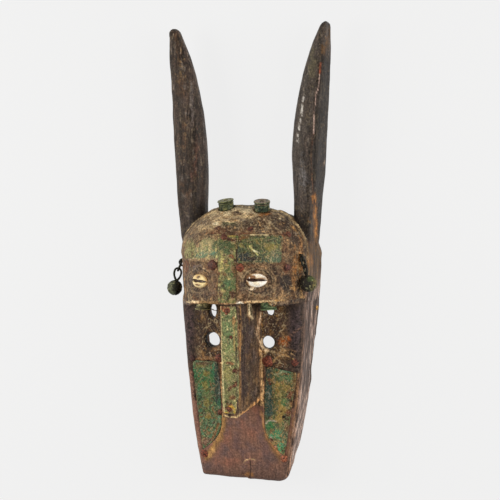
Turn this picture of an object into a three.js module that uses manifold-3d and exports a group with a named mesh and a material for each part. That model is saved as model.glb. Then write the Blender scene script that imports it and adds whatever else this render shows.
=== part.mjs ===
// A suruku (hyena) mask: one hollow carved head with tall ears, dressed with sheet metal, nails,
// cowrie eyes, cartridge heads and two small ball bells. It lies on its back.
import * as THREE from 'three';
import { mergeVertices } from 'three/addons/utils/BufferGeometryUtils.js';
import Module from 'manifold-3d';

const wasm = await Module();
wasm.setup();

// Directions, in millimetres: X across the face, Y from chin to ear tips, Z out of the face.
// While modelling, Y = 0 is the lower edge of the brow and Z = 0 is the flat back rim.
const CHIN_Y = -239.5;
const EAR_TIP_Y = 356;
const EAR_TIP_LEFT_DROP = 2.5;
const LENGTH_CENTRE_Y = (CHIN_Y + EAR_TIP_Y) / 2;
const WALL = 12;
const RIM_WALL = 6;
const FIT_GAP = 0.4;

// The long muzzle: a box with a slightly sloping face that narrows towards the chin.
const FACE_Z_BROW = 70;
const FACE_Z_CHIN = 60;
const FACE_HALF_WIDTH = 82.5;
const FACE_NARROWING = 0.00042;
const RIM_HALF_WIDTH = 84.5;
const RIM_SLOPE = 0.0728;
const RIM_NARROWING = 0.000346;
const FACE_EDGE_RADIUS = 10;
const CHIN_CORNER_LEFT = 10;
const CHIN_CORNER_RIGHT = 15;
const CHIN_UNDERCUT = 6;
const UNDERCUT_Y = -170;

// The helmet of the forehead: a round vault that overhangs the face at the brow.
const VAULT_RADIUS = 91;
const VAULT_CENTRE_Z = 29;
const VAULT_EDGE_Z = 54;
const HEAD_HALF_WIDTH = 87.5;
const BROW_HALF_WIDTH = 85;
const SHOULDER_Y = 48;
const CROWN_LENGTH = 71.5;
const CROWN_POWER = 2.45;
const CROWN_RIM_POWER = 1.85;
const BROW_Y = -2.5;
const BROW_TILT = 0.06;
const RIM_BULGE = 3.5;
const RIM_BULGE_Y = 45;
const CROWN_SPANS = 18;
const VAULT_SPANS = 7;
const VAULT_TOP_ANGLE = 1.53;

// The nose: a long wedge from the brow to an oblique undercut.
const NOSE_FRONT_Z_TOP = 115;
const NOSE_FRONT_Z_BOTTOM = 112;
const NOSE_FRONT_HALF_TOP = 11.6;
const NOSE_FRONT_HALF_BOTTOM = 9.8;
const NOSE_ROOT_HALF = 27.5;
const NOSE_FRONT_BOTTOM_Y = -145;
const NOSE_ROOT_BOTTOM_Y = -133;
const NOSE_TOP_Y = 8;

// The ears: tall half-leaf blades behind the vault.
const EAR_ROOT_Y = 64;
const EAR_BASE_Y = 121;
const EAR_OUTER_BASE = 96.5;
const EAR_OUTER_TIP = 109;
const EAR_INNER_BASE = 63.5;
const EAR_INNER_TIP = 101;
const EAR_CENTRE_Z = 36;
const EAR_HALF_DEPTH = 19;
const EAR_TIP_HALF_DEPTH = 9;
const EAR_OUTER_POWER = 6;
const EAR_INNER_POWER = 2.4;

// The see-through holes of the face.
const HOLE_FROM_Z = 40;
const HOLE_TO_Z = 85;
const EYE_HOLE_RADIUS = 10.3;
const EYE_HOLE_Y = -56.7;
const EYE_HOLE_LEFT_X = -43;
const EYE_HOLE_RIGHT_X = 33.7;
const PEEP_HOLE_HALF_WIDTH = 6.4;
const PEEP_HOLE_LEFT = { x: -41.4, y: -17.6, halfHeight: 9 };
const PEEP_HOLE_RIGHT = { x: 37.7, y: -13, halfHeight: 7.5 };

// Sheet metal, nails and shells.
const SHEET_GAP = 0.5;
const SHEET_THICKNESS = 1;
const SHEET_TOP = SHEET_GAP + SHEET_THICKNESS;
const NAIL_SHANK_RADIUS = 1.2;
const NAIL_SHANK_LENGTH = 6;
const COWRIE_HALF_LENGTH = 13.5;
const COWRIE_HALF_WIDTH = 9;
const COWRIE_HEIGHT = 6;
const COWRIE_SEAT_RADIUS = 15;
const COWRIE_SEAT_DEPTH = 1.5;
const COWRIE_LEFT = { x: -41.5, y: 25.4 };
const COWRIE_RIGHT = { x: 36.7, y: 29.1 };

// Cartridge heads and bells.
const CARTRIDGE_RIM_RADIUS = 10.75;
const CARTRIDGE_BODY_RADIUS = 9.9;
const CARTRIDGE_WALL = 1.1;
const CARTRIDGE_HEIGHT = 13;
const SOCKET_GAP = 0.7;
const BELL_RADIUS = 9.7;
const BELL_WALL = 1.4;
const WIRE_RADIUS = 0.9;

const colours = {
  wood: 0x3f3128,
  forehead: 0x5f6b3f,
  nose: 0x7f8a57,
  cheek: 0x3d7a55,
  rust: 0x6e3527,
  brass: 0x4e6a4c,
  bell: 0x27301f,
  shell: 0xd9c9a6,
  peg: 0x9a7b3f,
};

const lerp = THREE.MathUtils.lerp;
const clamp = THREE.MathUtils.clamp;
const steps = (count) => Array.from({ length: count + 1 }, (_, i) => i / count);

// Turn a closed surface outward, whichever way its rings were laid.
function turnOutward(geometry) {
  const position = geometry.getAttribute('position');
  const index = geometry.getIndex();
  const corners = [new THREE.Vector3(), new THREE.Vector3(), new THREE.Vector3()];
  let volume = 0;
  for (let i = 0; i < index.count; i += 3) {
    corners.forEach((corner, k) => corner.fromBufferAttribute(position, index.getX(i + k)));
    volume += corners[0].dot(corners[1].cross(corners[2]));
  }
  if (volume < 0) {
    for (let i = 0; i < index.count; i += 3) {
      const second = index.getX(i + 1);
      index.setX(i + 1, index.getX(i + 2));
      index.setX(i + 2, second);
    }
  }
  return geometry;
}

function indexedGeometry(points, faces) {
  const geometry = new THREE.BufferGeometry();
  const places = points.flatMap((p) => p.toArray());
  geometry.setAttribute('position', new THREE.Float32BufferAttribute(places, 3));
  geometry.setIndex(faces.flat());
  return turnOutward(geometry);
}

// Skin a row of equal rings and close both ends with a fan, or join the last ring to the first.
function skin(rings, closed = false) {
  const sides = rings[0].length;
  const points = rings.flat();
  const faces = [];
  const spans = closed ? rings.length : rings.length - 1;
  for (let i = 0; i < spans; i += 1) {
    for (let j = 0; j < sides; j += 1) {
      const a = i * sides + j;
      const b = i * sides + ((j + 1) % sides);
      const c = ((i + 1) % rings.length) * sides + j;
      const d = ((i + 1) % rings.length) * sides + ((j + 1) % sides);
      faces.push([a, b, d], [a, d, c]);
    }
  }
  if (!closed) {
    [0, rings.length - 1].forEach((end) => {
      const middle = points.length;
      const centre = rings[end].reduce((sum, p) => sum.add(p), new THREE.Vector3()).divideScalar(sides);
      points.push(centre);
      for (let j = 0; j < sides; j += 1) {
        const a = end * sides + j;
        const b = end * sides + ((j + 1) % sides);
        faces.push(end === 0 ? [middle, b, a] : [middle, a, b]);
      }
    });
  }
  return indexedGeometry(points, faces);
}

// Closed meshes become solids for joining and cutting, and come back as geometry.
function solid(geometry) {
  const bare = geometry.clone();
  bare.deleteAttribute('normal');
  bare.deleteAttribute('uv');
  const merged = mergeVertices(bare, 1e-4);
  const mesh = new wasm.Mesh({
    numProp: 3,
    vertProperties: new Float32Array(merged.getAttribute('position').array),
    triVerts: new Uint32Array(merged.getIndex().array),
  });
  return new wasm.Manifold(mesh);
}

function geometryOf(manifold) {
  const mesh = manifold.getMesh();
  const geometry = new THREE.BufferGeometry();
  geometry.setAttribute('position', new THREE.Float32BufferAttribute(mesh.vertProperties, 3));
  geometry.setIndex(Array.from(mesh.triVerts));
  return geometry;
}

// The form of the muzzle. Distances run from the brow down to the chin.
const faceZ = (y) => lerp(FACE_Z_BROW, FACE_Z_CHIN, clamp(y / CHIN_Y, -0.2, 1));

function chinRounding(y, side) {
  const radius = side < 0 ? CHIN_CORNER_LEFT : CHIN_CORNER_RIGHT;
  const rest = clamp(radius - (y - CHIN_Y), 0, radius);
  return radius - Math.sqrt(radius ** 2 - rest ** 2);
}

function faceHalfWidth(y) {
  const down = Math.max(0, -y);
  return FACE_HALF_WIDTH - FACE_NARROWING * down ** 2;
}

function rimHalfWidth(y) {
  const down = Math.max(0, -y);
  const bulge = RIM_BULGE * Math.sin((Math.PI / 2) * clamp(y / RIM_BULGE_Y, 0, 1));
  return RIM_HALF_WIDTH + bulge - RIM_SLOPE * down - RIM_NARROWING * down ** 2;
}

// One section across the muzzle, drawn in from the outside by the inset.
function muzzleRing(y, inset, floorZ) {
  const top = faceZ(y) - inset;
  const face = faceHalfWidth(y) - inset;
  const rim = rimHalfWidth(y) - (inset > 0 ? RIM_WALL : 0);
  const radius = Math.max(FACE_EDGE_RADIUS - inset, 3);
  const half = (side) => {
    const less = inset > 0 ? 0 : chinRounding(y, side);
    const profile = [new THREE.Vector2(side * (rim - less), floorZ)];
    steps(3).forEach((share) => {
      const angle = (share * Math.PI) / 2;
      const across = face - less - radius + radius * Math.cos(angle);
      profile.push(new THREE.Vector2(side * across, top - radius + radius * Math.sin(angle)));
    });
    return profile;
  };
  const right = half(1);
  const left = half(-1).reverse();
  const undercut = CHIN_UNDERCUT * clamp((UNDERCUT_Y - y) / (UNDERCUT_Y - CHIN_Y), 0, 1);
  return [...right, ...left].map((p) => new THREE.Vector3(p.x, y + undercut * (1 - p.y / top), p.y));
}

function muzzle(inset, floorZ, topY) {
  const rounded = steps(4).map((share) => CHIN_CORNER_RIGHT * (1 - Math.cos((share * Math.PI) / 2)));
  const start = CHIN_Y + inset;
  const stations = inset > 0 ? [start] : rounded.map((d) => start + d);
  const last = stations[stations.length - 1];
  steps(9).slice(1).forEach((share) => stations.push(lerp(last, topY, share)));
  return solid(skin(stations.map((y) => muzzleRing(y, inset, floorZ))));
}

// The form of the vault. Its reach is the half width that it has left at a height.
function vaultReach(z, inset) {
  const rise = Math.max(z, VAULT_EDGE_Z) - VAULT_CENTRE_Z;
  return Math.sqrt((VAULT_RADIUS - inset) ** 2 - rise ** 2);
}

const browY = (x) => BROW_Y + BROW_TILT * x;

function headHalfWidth(y, z) {
  const edge = lerp(BROW_HALF_WIDTH, HEAD_HALF_WIDTH, clamp(y / 25, 0, 1));
  return lerp(rimHalfWidth(y), edge, clamp(z / VAULT_EDGE_Z, 0, 1));
}

function headRing(z, inset) {
  const height = clamp(z / VAULT_EDGE_Z, 0, 1);
  const rimShare = 1 - (inset > 0 ? RIM_WALL : 0) / HEAD_HALF_WIDTH;
  const share = lerp(rimShare, vaultReach(z, inset) / HEAD_HALF_WIDTH, height);
  const power = lerp(CROWN_RIM_POWER, CROWN_POWER, height);
  const side = (direction) => [0, 0.5].map((rise) => {
    const x = direction * headHalfWidth(SHOULDER_Y * rise, z) * share;
    return new THREE.Vector3(x, lerp(browY(x) + inset, SHOULDER_Y, rise), z);
  });
  const widest = headHalfWidth(SHOULDER_Y, z) * share;
  const crown = steps(CROWN_SPANS).map((s) => {
    const angle = s * Math.PI;
    const across = Math.sign(Math.cos(angle)) * Math.abs(Math.cos(angle)) ** (2 / power);
    const up = Math.sin(angle) ** (2 / power);
    return new THREE.Vector3(widest * across, SHOULDER_Y + CROWN_LENGTH * share * up, z);
  });
  return [...side(1), ...crown, ...side(-1).reverse()];
}

function head(inset, floorZ) {
  const radius = VAULT_RADIUS - inset;
  const edgeAngle = Math.asin((VAULT_EDGE_Z - VAULT_CENTRE_Z) / radius);
  const heights = [floorZ, VAULT_EDGE_Z];
  steps(VAULT_SPANS).slice(1).forEach((s) => {
    heights.push(VAULT_CENTRE_Z + radius * Math.sin(lerp(edgeAngle, VAULT_TOP_ANGLE, s)));
  });
  return solid(skin(heights.map((z) => headRing(z, inset))));
}

// A point on the outside of the vault above a place (x, y).
function onVault(x, y) {
  const across = (Math.abs(x) * HEAD_HALF_WIDTH) / headHalfWidth(y, VAULT_EDGE_Z);
  const up = (Math.max(0, y - SHOULDER_Y) * HEAD_HALF_WIDTH) / CROWN_LENGTH;
  const reach = (across ** CROWN_POWER + up ** CROWN_POWER) ** (1 / CROWN_POWER);
  const rise = Math.sqrt(VAULT_RADIUS ** 2 - Math.min(reach, HEAD_HALF_WIDTH) ** 2);
  return new THREE.Vector3(x, y, VAULT_CENTRE_Z + rise);
}

const onFace = (x, y) => new THREE.Vector3(x, y, faceZ(y));

// A point on the right side wall, a distance back from the face.
const onRightSide = (back, y) => new THREE.Vector3(rimHalfWidth(y), y, FACE_Z_BROW - back);

function noseFrontZ(y) {
  return lerp(NOSE_FRONT_Z_TOP, NOSE_FRONT_Z_BOTTOM, clamp(y / NOSE_FRONT_BOTTOM_Y, -0.1, 1));
}

const onNose = (x, y) => new THREE.Vector3(x, y, noseFrontZ(y));

function normalOf(surface, x, y) {
  const reach = 0.5;
  const alongX = surface(x + reach, y).sub(surface(x - reach, y));
  const alongY = surface(x, y + reach).sub(surface(x, y - reach));
  return alongX.cross(alongY).normalize();
}

function noseHalfWidth(y) {
  return lerp(NOSE_FRONT_HALF_TOP, NOSE_FRONT_HALF_BOTTOM, clamp(y / NOSE_FRONT_BOTTOM_Y, 0, 1));
}

function nose() {
  const rings = [NOSE_TOP_Y, -40, -90, NOSE_FRONT_BOTTOM_Y].map((y) => {
    const front = noseFrontZ(y);
    const root = faceZ(y);
    const profile = [
      new THREE.Vector2(NOSE_ROOT_HALF, root - WALL / 2),
      new THREE.Vector2(NOSE_ROOT_HALF, root),
      new THREE.Vector2(noseHalfWidth(y) + 1.2, front - 2),
      new THREE.Vector2(noseHalfWidth(y) - 0.6, front),
    ];
    const both = [...profile, ...profile.map((p) => new THREE.Vector2(-p.x, p.y)).reverse()];
    const lift = y === NOSE_FRONT_BOTTOM_Y ? NOSE_ROOT_BOTTOM_Y - NOSE_FRONT_BOTTOM_Y : 0;
    return both.map((p) => {
      const depth = clamp((front - p.y) / (front - root), 0, 1);
      return new THREE.Vector3(p.x, y + lift * depth, p.y);
    });
  });
  return solid(skin(rings));
}

// One ear, as sections that are square outside and round towards the middle of the mask.
function earRing(y, side, tipY) {
  const rise = (y - EAR_BASE_Y) / (tipY - EAR_BASE_Y);
  const outer = rise < 0 ? EAR_OUTER_BASE + 28 * rise : lerp(EAR_OUTER_BASE, EAR_OUTER_TIP, rise);
  const inner = lerp(EAR_INNER_BASE, EAR_INNER_TIP, clamp((rise - 0.25) / 0.75, 0, 1) ** 2);
  const close = Math.sqrt(1 - clamp((y - (tipY - 7)) / 7.3, 0, 1) ** 2);
  const halfWidth = ((outer - inner) / 2) * close;
  const halfDepth = lerp(EAR_HALF_DEPTH, EAR_TIP_HALF_DEPTH, clamp(rise, 0, 1) ** 1.5) * close;
  const middle = (outer + inner) / 2;
  return steps(14).slice(1).map((s) => {
    const angle = s * 2 * Math.PI;
    const power = 2 / (Math.cos(angle) > 0 ? EAR_OUTER_POWER : EAR_INNER_POWER);
    const across = Math.sign(Math.cos(angle)) * Math.abs(Math.cos(angle)) ** power;
    const out = Math.sign(Math.sin(angle)) * Math.abs(Math.sin(angle)) ** power;
    return new THREE.Vector3(side * (middle + halfWidth * across), y, EAR_CENTRE_Z + halfDepth * out);
  });
}

function ear(side) {
  const tipY = side < 0 ? EAR_TIP_Y - EAR_TIP_LEFT_DROP : EAR_TIP_Y;
  const stations = [EAR_ROOT_Y, ...steps(9).map((s) => lerp(EAR_BASE_Y - 30, tipY - 25, s))];
  [16, 8, 3.5, 1, 0].forEach((d) => stations.push(tipY - d));
  return solid(skin(stations.map((y) => earRing(y, side, tipY))));
}

// Place a geometry whose own axis is +Y so that the axis points along a direction.
function aim(geometry, point, direction) {
  const turn = new THREE.Quaternion().setFromUnitVectors(new THREE.Vector3(0, 1, 0), direction);
  return geometry.clone().applyQuaternion(turn).translate(point.x, point.y, point.z);
}

function lathe(profile, sides) {
  const geometry = new THREE.LatheGeometry(profile.map(([r, h]) => new THREE.Vector2(r, h)), sides);
  geometry.deleteAttribute('normal');
  geometry.deleteAttribute('uv');
  return turnOutward(mergeVertices(geometry, 1e-4));
}

const plug = (radius, low, high, sides) => lathe([[0, low], [radius, low], [radius, high], [0, high]], sides);

function throughHole(x, y, halfWidth, halfHeight) {
  const cutter = plug(1, HOLE_FROM_Z, HOLE_TO_Z, 18).rotateX(Math.PI / 2);
  return solid(cutter.scale(halfWidth, halfHeight, 1).translate(x, y, 0));
}

// A thin sheet laid over a surface. The outline maps (u, v) in 0..1 to a place (x, y).
function sheet(surface, outline, acrossCount, alongCount) {
  const faces = [];
  const points = [];
  const width = acrossCount + 1;
  const layer = width * (alongCount + 1);
  [SHEET_GAP, SHEET_TOP].forEach((height) => {
    steps(alongCount).forEach((v) => {
      steps(acrossCount).forEach((u) => {
        const [x, y] = outline(u, v);
        points.push(surface(x, y).addScaledVector(normalOf(surface, x, y), height));
      });
    });
  });
  const quad = (a, b, c, d) => faces.push([a, b, c], [a, c, d]);
  for (let row = 0; row < alongCount; row += 1) {
    for (let column = 0; column < acrossCount; column += 1) {
      const a = row * width + column;
      quad(a, a + width, a + width + 1, a + 1);
      quad(layer + a, layer + a + 1, layer + a + width + 1, layer + a + width);
    }
  }
  for (let column = 0; column < acrossCount; column += 1) {
    const far = alongCount * width + column;
    quad(column, column + 1, layer + column + 1, layer + column);
    quad(far, layer + far, layer + far + 1, far + 1);
  }
  for (let row = 0; row < alongCount; row += 1) {
    const near = row * width;
    const end = near + acrossCount;
    quad(near, layer + near, layer + near + width, near + width);
    quad(end, end + width, layer + end + width, layer + end);
  }
  return indexedGeometry(points, faces);
}

// Nails: a corroded domed head on a short shank, with the hole that the shank sits in.
const nails = [];

function nail(name, surface, x, y, headRadius, seatHeight = SHEET_TOP + FIT_GAP) {
  const outward = normalOf(surface, x, y);
  const seat = surface(x, y).addScaledVector(outward, seatHeight);
  const profile = [
    [0, -NAIL_SHANK_LENGTH],
    [NAIL_SHANK_RADIUS, -NAIL_SHANK_LENGTH + 1],
    [NAIL_SHANK_RADIUS, 0],
    [headRadius, 0],
    [headRadius * 0.9, 1],
    [headRadius * 0.45, 2],
    [0, 2.3],
  ];
  const hole = plug(NAIL_SHANK_RADIUS + FIT_GAP, -NAIL_SHANK_LENGTH - 1, 2, 6);
  nails.push({
    name,
    geometry: aim(lathe(profile, 7), seat, outward),
    hole: solid(aim(hole, seat, outward)),
  });
}

nail('nail_crown_left', onVault, -19.8, 92, 4.2);
nail('nail_strip_top', onVault, -8.5, 81.5, 4);
nail('nail_crown_right', onVault, 23.1, 92, 4);
nail('nail_band_lower_left', onVault, -20.8, 47.5, 6.2);
nail('nail_band_lower_right', onVault, 16.1, 45.1, 5);
nail('nail_band_far_right_top', onVault, 65.8, 85, 4);
nail('nail_band_far_right_bottom', onVault, 68, 44.8, 4.2);
nail('nail_cheek_left_outer', onFace, -70, -82.5, 3.4);
nail('nail_cheek_left_inner', onFace, -32.4, -80, 4.4);
nail('nail_cheek_left_middle', onFace, -32.2, -153, 2.8);
nail('nail_cheek_left_bottom', onFace, -56, -211, 4);
nail('nail_cheek_right_inner', onFace, 35.2, -80.5, 5.6);
nail('nail_cheek_right_outer', onFace, 72.4, -79.8, 3.6);
nail('nail_cheek_right_bottom', onFace, 56.2, -208.5, 3.6);
nail('nail_nose_top', onNose, -2.1, -10.9, 2.6);
nail('nail_nose_upper', onNose, 2.6, -43.9, 2.2);
nail('nail_nose_middle', onNose, 6.6, -87, 2.4);
nail('nail_nose_lower', onNose, 6.4, -106.3, 2.2);
nail('nail_nose_bottom', onNose, -0.5, -137, 3);
nail('side_peg_right', onRightSide, 61, -15.5, 3, FIT_GAP);

// Cowrie eyes: an oval shell, mouth outward and across the face, lying in a round seat.
function cowrieSeat({ x, y }) {
  const outward = normalOf(onVault, x, y);
  return solid(aim(plug(COWRIE_SEAT_RADIUS, -COWRIE_SEAT_DEPTH, 6, 20), onVault(x, y), outward));
}

function cowrie({ x, y }) {
  const outward = normalOf(onVault, x, y);
  const down = new THREE.Vector3(1, 0, 0).cross(outward).normalize();
  const shell = new THREE.SphereGeometry(1, 16, 12);
  shell.scale(COWRIE_HALF_LENGTH, COWRIE_HEIGHT, COWRIE_HALF_WIDTH);
  const under = new THREE.BoxGeometry(40, 10, 40).translate(0, -5, 0);
  const mouth = new THREE.BoxGeometry(COWRIE_HALF_LENGTH * 1.7, 6, 1.6).translate(0, COWRIE_HEIGHT + 1, 0);
  const seat = onVault(x, y).addScaledVector(outward, FIT_GAP - COWRIE_SEAT_DEPTH);
  const body = solid(shell).subtract(solid(under)).subtract(solid(mouth));
  const frame = new THREE.Matrix4().makeBasis(outward.clone().cross(down), outward, down).setPosition(seat);
  return geometryOf(body).applyMatrix4(frame);
}

// Cartridge heads: hollow brass cups with a rim, set mouth first into a socket in the wood.
function cartridge(point, direction) {
  const rimBase = CARTRIDGE_HEIGHT - 1.6;
  const profile = [
    [0, CARTRIDGE_HEIGHT],
    [CARTRIDGE_RIM_RADIUS, CARTRIDGE_HEIGHT],
    [CARTRIDGE_RIM_RADIUS, rimBase],
    [CARTRIDGE_BODY_RADIUS - 0.7, rimBase - 1],
    [CARTRIDGE_BODY_RADIUS, rimBase - 2.6],
    [CARTRIDGE_BODY_RADIUS, 0],
    [CARTRIDGE_BODY_RADIUS - CARTRIDGE_WALL, 0],
    [CARTRIDGE_BODY_RADIUS - CARTRIDGE_WALL, rimBase - 0.5],
    [0, rimBase - 0.5],
  ];
  const bore = plug(CARTRIDGE_BODY_RADIUS + SOCKET_GAP, -FIT_GAP, CARTRIDGE_HEIGHT, 14);
  return {
    geometry: aim(lathe(profile, 14), point, direction),
    socket: solid(aim(bore, point, direction)),
  };
}

const place = (x, y, z) => new THREE.Vector3(x, y, z);
const heading = (x, y, z) => place(x, y, z).normalize();
const cartridges = {
  cartridge_crown_left: cartridge(place(-20.5, 113, 60), heading(-0.28, 0.93, 0.24)),
  cartridge_crown_right: cartridge(place(25, 112.5, 60), heading(0.04, 0.97, 0.24)),
  cartridge_brow_left: cartridge(place(-45.4, -1, 88), heading(-0.02, -0.998, 0.05)),
  cartridge_brow_right: cartridge(place(43.4, 2.5, 88), heading(0.05, -0.998, 0.03)),
};

// Round wire along an open or closed route.
function wire(route, count, closed) {
  const rings = steps(count).slice(0, closed ? count : count + 1).map((share) => {
    const step = 1e-3;
    const forward = route(share + step).sub(route(share - step)).normalize();
    const side = new THREE.Vector3(0, 0, 1).cross(forward);
    if (side.length() < 0.3) side.set(1, 0, 0).cross(forward);
    side.normalize();
    const up = new THREE.Vector3().crossVectors(forward, side);
    return steps(5).slice(1).map((s) => {
      const angle = s * 2 * Math.PI;
      return route(share)
        .addScaledVector(side, WIRE_RADIUS * Math.cos(angle))
        .addScaledVector(up, WIRE_RADIUS * Math.sin(angle));
    });
  });
  return skin(rings, closed);
}

// A bell hangs from a staple in the wood by one link and its own teardrop loop.
// In each bell's own frame +Y points up the chain, +X away from the wood.
const BELL_CHAIN = 36;
const STAPLE_RADIUS = 4.4;
const LINK_TOP = 1.6;
const LINK_LENGTH = 13.5;
const LINK_HALF_WIDTH = 2.9;
const LINK_TOP_OUT = 1.4;
const LOOP_OUT = 5.6;

function bell(loopHalfWidth) {
  const lower = -BELL_CHAIN;
  const loopTop = LINK_TOP - LINK_LENGTH + 3.1;
  const loopBottom = lower + BELL_RADIUS - 0.8;
  const ballOut = LOOP_OUT + 1;
  const staple = wire((s) => {
    const angle = lerp(-Math.PI / 2 - 0.9, Math.PI / 2 + 0.9, s);
    return new THREE.Vector3(STAPLE_RADIUS * Math.cos(angle), STAPLE_RADIUS * Math.sin(angle), 0);
  }, 10, false);
  const link = wire((s) => {
    const angle = s * 2 * Math.PI;
    const along = LINK_TOP - LINK_LENGTH / 2 + (LINK_LENGTH / 2) * Math.cos(angle);
    const out = lerp(LOOP_OUT, LINK_TOP_OUT, (1 + Math.cos(angle)) / 2);
    return new THREE.Vector3(out, along, LINK_HALF_WIDTH * Math.sin(angle));
  }, 14, true);
  const loop = wire((s) => {
    const angle = s * 2 * Math.PI;
    const along = lerp(loopBottom, loopTop, (1 + Math.cos(angle)) / 2);
    const swell = ((1 + Math.cos(angle)) / 2) ** 0.4;
    return new THREE.Vector3(LOOP_OUT + loopHalfWidth * Math.sin(angle) * swell, along, 0);
  }, 14, true);
  const ball = solid(new THREE.SphereGeometry(BELL_RADIUS, 14, 9).translate(ballOut, lower, 0));
  const room = solid(new THREE.SphereGeometry(BELL_RADIUS - BELL_WALL, 9, 6).translate(ballOut, lower, 0));
  const slitShape = new THREE.BoxGeometry(BELL_RADIUS * 2.4, BELL_RADIUS, 1.8);
  const slit = solid(slitShape.translate(ballOut, lower - BELL_RADIUS * 0.75, 0));
  const wireReach = WIRE_RADIUS + FIT_GAP;
  const staplePath = plug(STAPLE_RADIUS + wireReach, -wireReach, wireReach, 12).rotateX(Math.PI / 2);
  return {
    staple,
    link,
    ball: geometryOf(ball.add(solid(loop)).subtract(room).subtract(slit)),
    staplePath,
  };
}

// Stand a bell's own frame on the wood at an anchor, with its chain running towards the ball.
function bellFrame(anchor, ballCentre) {
  const up = anchor.clone().sub(ballCentre).normalize();
  const away = heading(anchor.x, 0, anchor.z - VAULT_CENTRE_Z);
  const out = away.addScaledVector(up, -away.dot(up)).normalize();
  const across = out.clone().cross(up);
  return new THREE.Matrix4().makeBasis(out, up, across).setPosition(anchor);
}

const bells = {
  bell_left: { shape: bell(4.6), frame: bellFrame(place(-86.8, 46, 57), place(-91.8, 8.2, 58)) },
  bell_right: { shape: bell(3.8), frame: bellFrame(place(80.9, 54.5, 71), place(86.2, 20, 68)) },
};

// The carved head: vault, muzzle, nose and ears are one piece of wood, hollowed from the back.
function carvedHead() {
  let wood = muzzle(0, 0, 30).add(head(0, 0)).add(nose()).add(ear(-1)).add(ear(1));
  wood = wood.subtract(muzzle(WALL, -5, 24)).subtract(head(WALL, -5));
  wood = wood.subtract(throughHole(EYE_HOLE_LEFT_X, EYE_HOLE_Y, EYE_HOLE_RADIUS, EYE_HOLE_RADIUS));
  wood = wood.subtract(throughHole(EYE_HOLE_RIGHT_X, EYE_HOLE_Y, EYE_HOLE_RADIUS, EYE_HOLE_RADIUS));
  [PEEP_HOLE_LEFT, PEEP_HOLE_RIGHT].forEach(({ x, y, halfHeight }) => {
    wood = wood.subtract(throughHole(x, y, PEEP_HOLE_HALF_WIDTH, halfHeight));
  });
  [COWRIE_LEFT, COWRIE_RIGHT].forEach((eye) => {
    wood = wood.subtract(cowrieSeat(eye));
  });
  Object.values(cartridges).forEach((each) => {
    wood = wood.subtract(each.socket);
  });
  nails.forEach((each) => {
    wood = wood.subtract(each.hole);
  });
  return wood;
}

function withNailHoles(geometry) {
  return geometryOf(nails.reduce((metal, each) => metal.subtract(each.hole), solid(geometry)));
}

// The outlines of the sheets, as places for (u, v).
const bandLeft = (u, v) => [lerp(-67, -12.9, u), lerp(lerp(50, 51, u), lerp(78, 87, u), v)];
const bandRight = (u, v) => [lerp(13.2, 65.5, u), lerp(50, lerp(86.5, 85.5, u), v)];
const foreheadStrip = (u, v) => [lerp(-11.8, 11.6, u), lerp(0.5, 84.5, v)];
const noseStrip = (u, v) => {
  const y = lerp(-5, NOSE_FRONT_BOTTOM_Y + 2.5, v);
  return [(noseHalfWidth(y) - 0.8) * (2 * u - 1), y];
};

function cheekSheet(side, outerTop, outerBottom, inner) {
  return (u, v) => {
    const y = lerp(-89, -205, v);
    const outer = lerp(outerTop, outerBottom, v);
    const cut = clamp((-165 - y) / 40, 0, 1) ** 2.2;
    return [side * lerp(lerp(inner, outerBottom - 1, cut), outer, u), y];
  };
}

const mask = new THREE.Group();

function add(name, geometry, colour, roughness, metalness, frame) {
  const shown = geometry.index ? geometry.toNonIndexed() : geometry;
  shown.computeVertexNormals();
  const material = new THREE.MeshStandardMaterial({ color: colour, roughness, metalness });
  const mesh = new THREE.Mesh(shown, material);
  mesh.name = name;
  if (frame) frame.decompose(mesh.position, mesh.quaternion, mesh.scale);
  mask.add(mesh);
}

let wood = carvedHead();
Object.values(bells).forEach(({ shape, frame }) => {
  wood = wood.subtract(solid(shape.staplePath.applyMatrix4(frame)));
});
add('mask_body', geometryOf(wood), colours.wood, 0.7, 0);

add('forehead_band_left', withNailHoles(sheet(onVault, bandLeft, 8, 4)), colours.forehead, 0.6, 0.5);
add('forehead_band_right', withNailHoles(sheet(onVault, bandRight, 8, 4)), colours.forehead, 0.6, 0.5);
add('forehead_strip', withNailHoles(sheet(onVault, foreheadStrip, 4, 8)), colours.forehead, 0.6, 0.5);
add('nose_strip', withNailHoles(sheet(onNose, noseStrip, 2, 4)), colours.nose, 0.6, 0.5);
const cheekLeft = sheet(onFace, cheekSheet(-1, 71, 58.5, 31), 3, 10);
const cheekRight = sheet(onFace, cheekSheet(1, 73, 57.5, 30), 3, 10);
add('cheek_sheet_left', withNailHoles(cheekLeft), colours.cheek, 0.5, 0.5);
add('cheek_sheet_right', withNailHoles(cheekRight), colours.cheek, 0.5, 0.5);

add('cowrie_eye_left', cowrie(COWRIE_LEFT), colours.shell, 0.3, 0);
add('cowrie_eye_right', cowrie(COWRIE_RIGHT), colours.shell, 0.3, 0);
Object.entries(cartridges).forEach(([name, each]) => add(name, each.geometry, colours.brass, 0.6, 0.6));
nails.forEach((each) => {
  const colour = each.name.startsWith('nail') ? colours.rust : colours.peg;
  add(each.name, each.geometry, colour, 0.9, 0.2);
});
Object.entries(bells).forEach(([name, { shape, frame }]) => {
  add(name, shape.ball, colours.bell, 0.7, 0.5, frame);
  add(`${name}_link`, shape.link, colours.bell, 0.7, 0.5, frame);
  add(`${name}_staple`, shape.staple, colours.bell, 0.7, 0.5, frame);
});

mask.position.set(0, -LENGTH_CENTRE_Y, 0);

export default mask;
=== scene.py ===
"""A suruku (hyena) mask of carved wood, lying on its back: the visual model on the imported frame."""

import math

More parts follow.
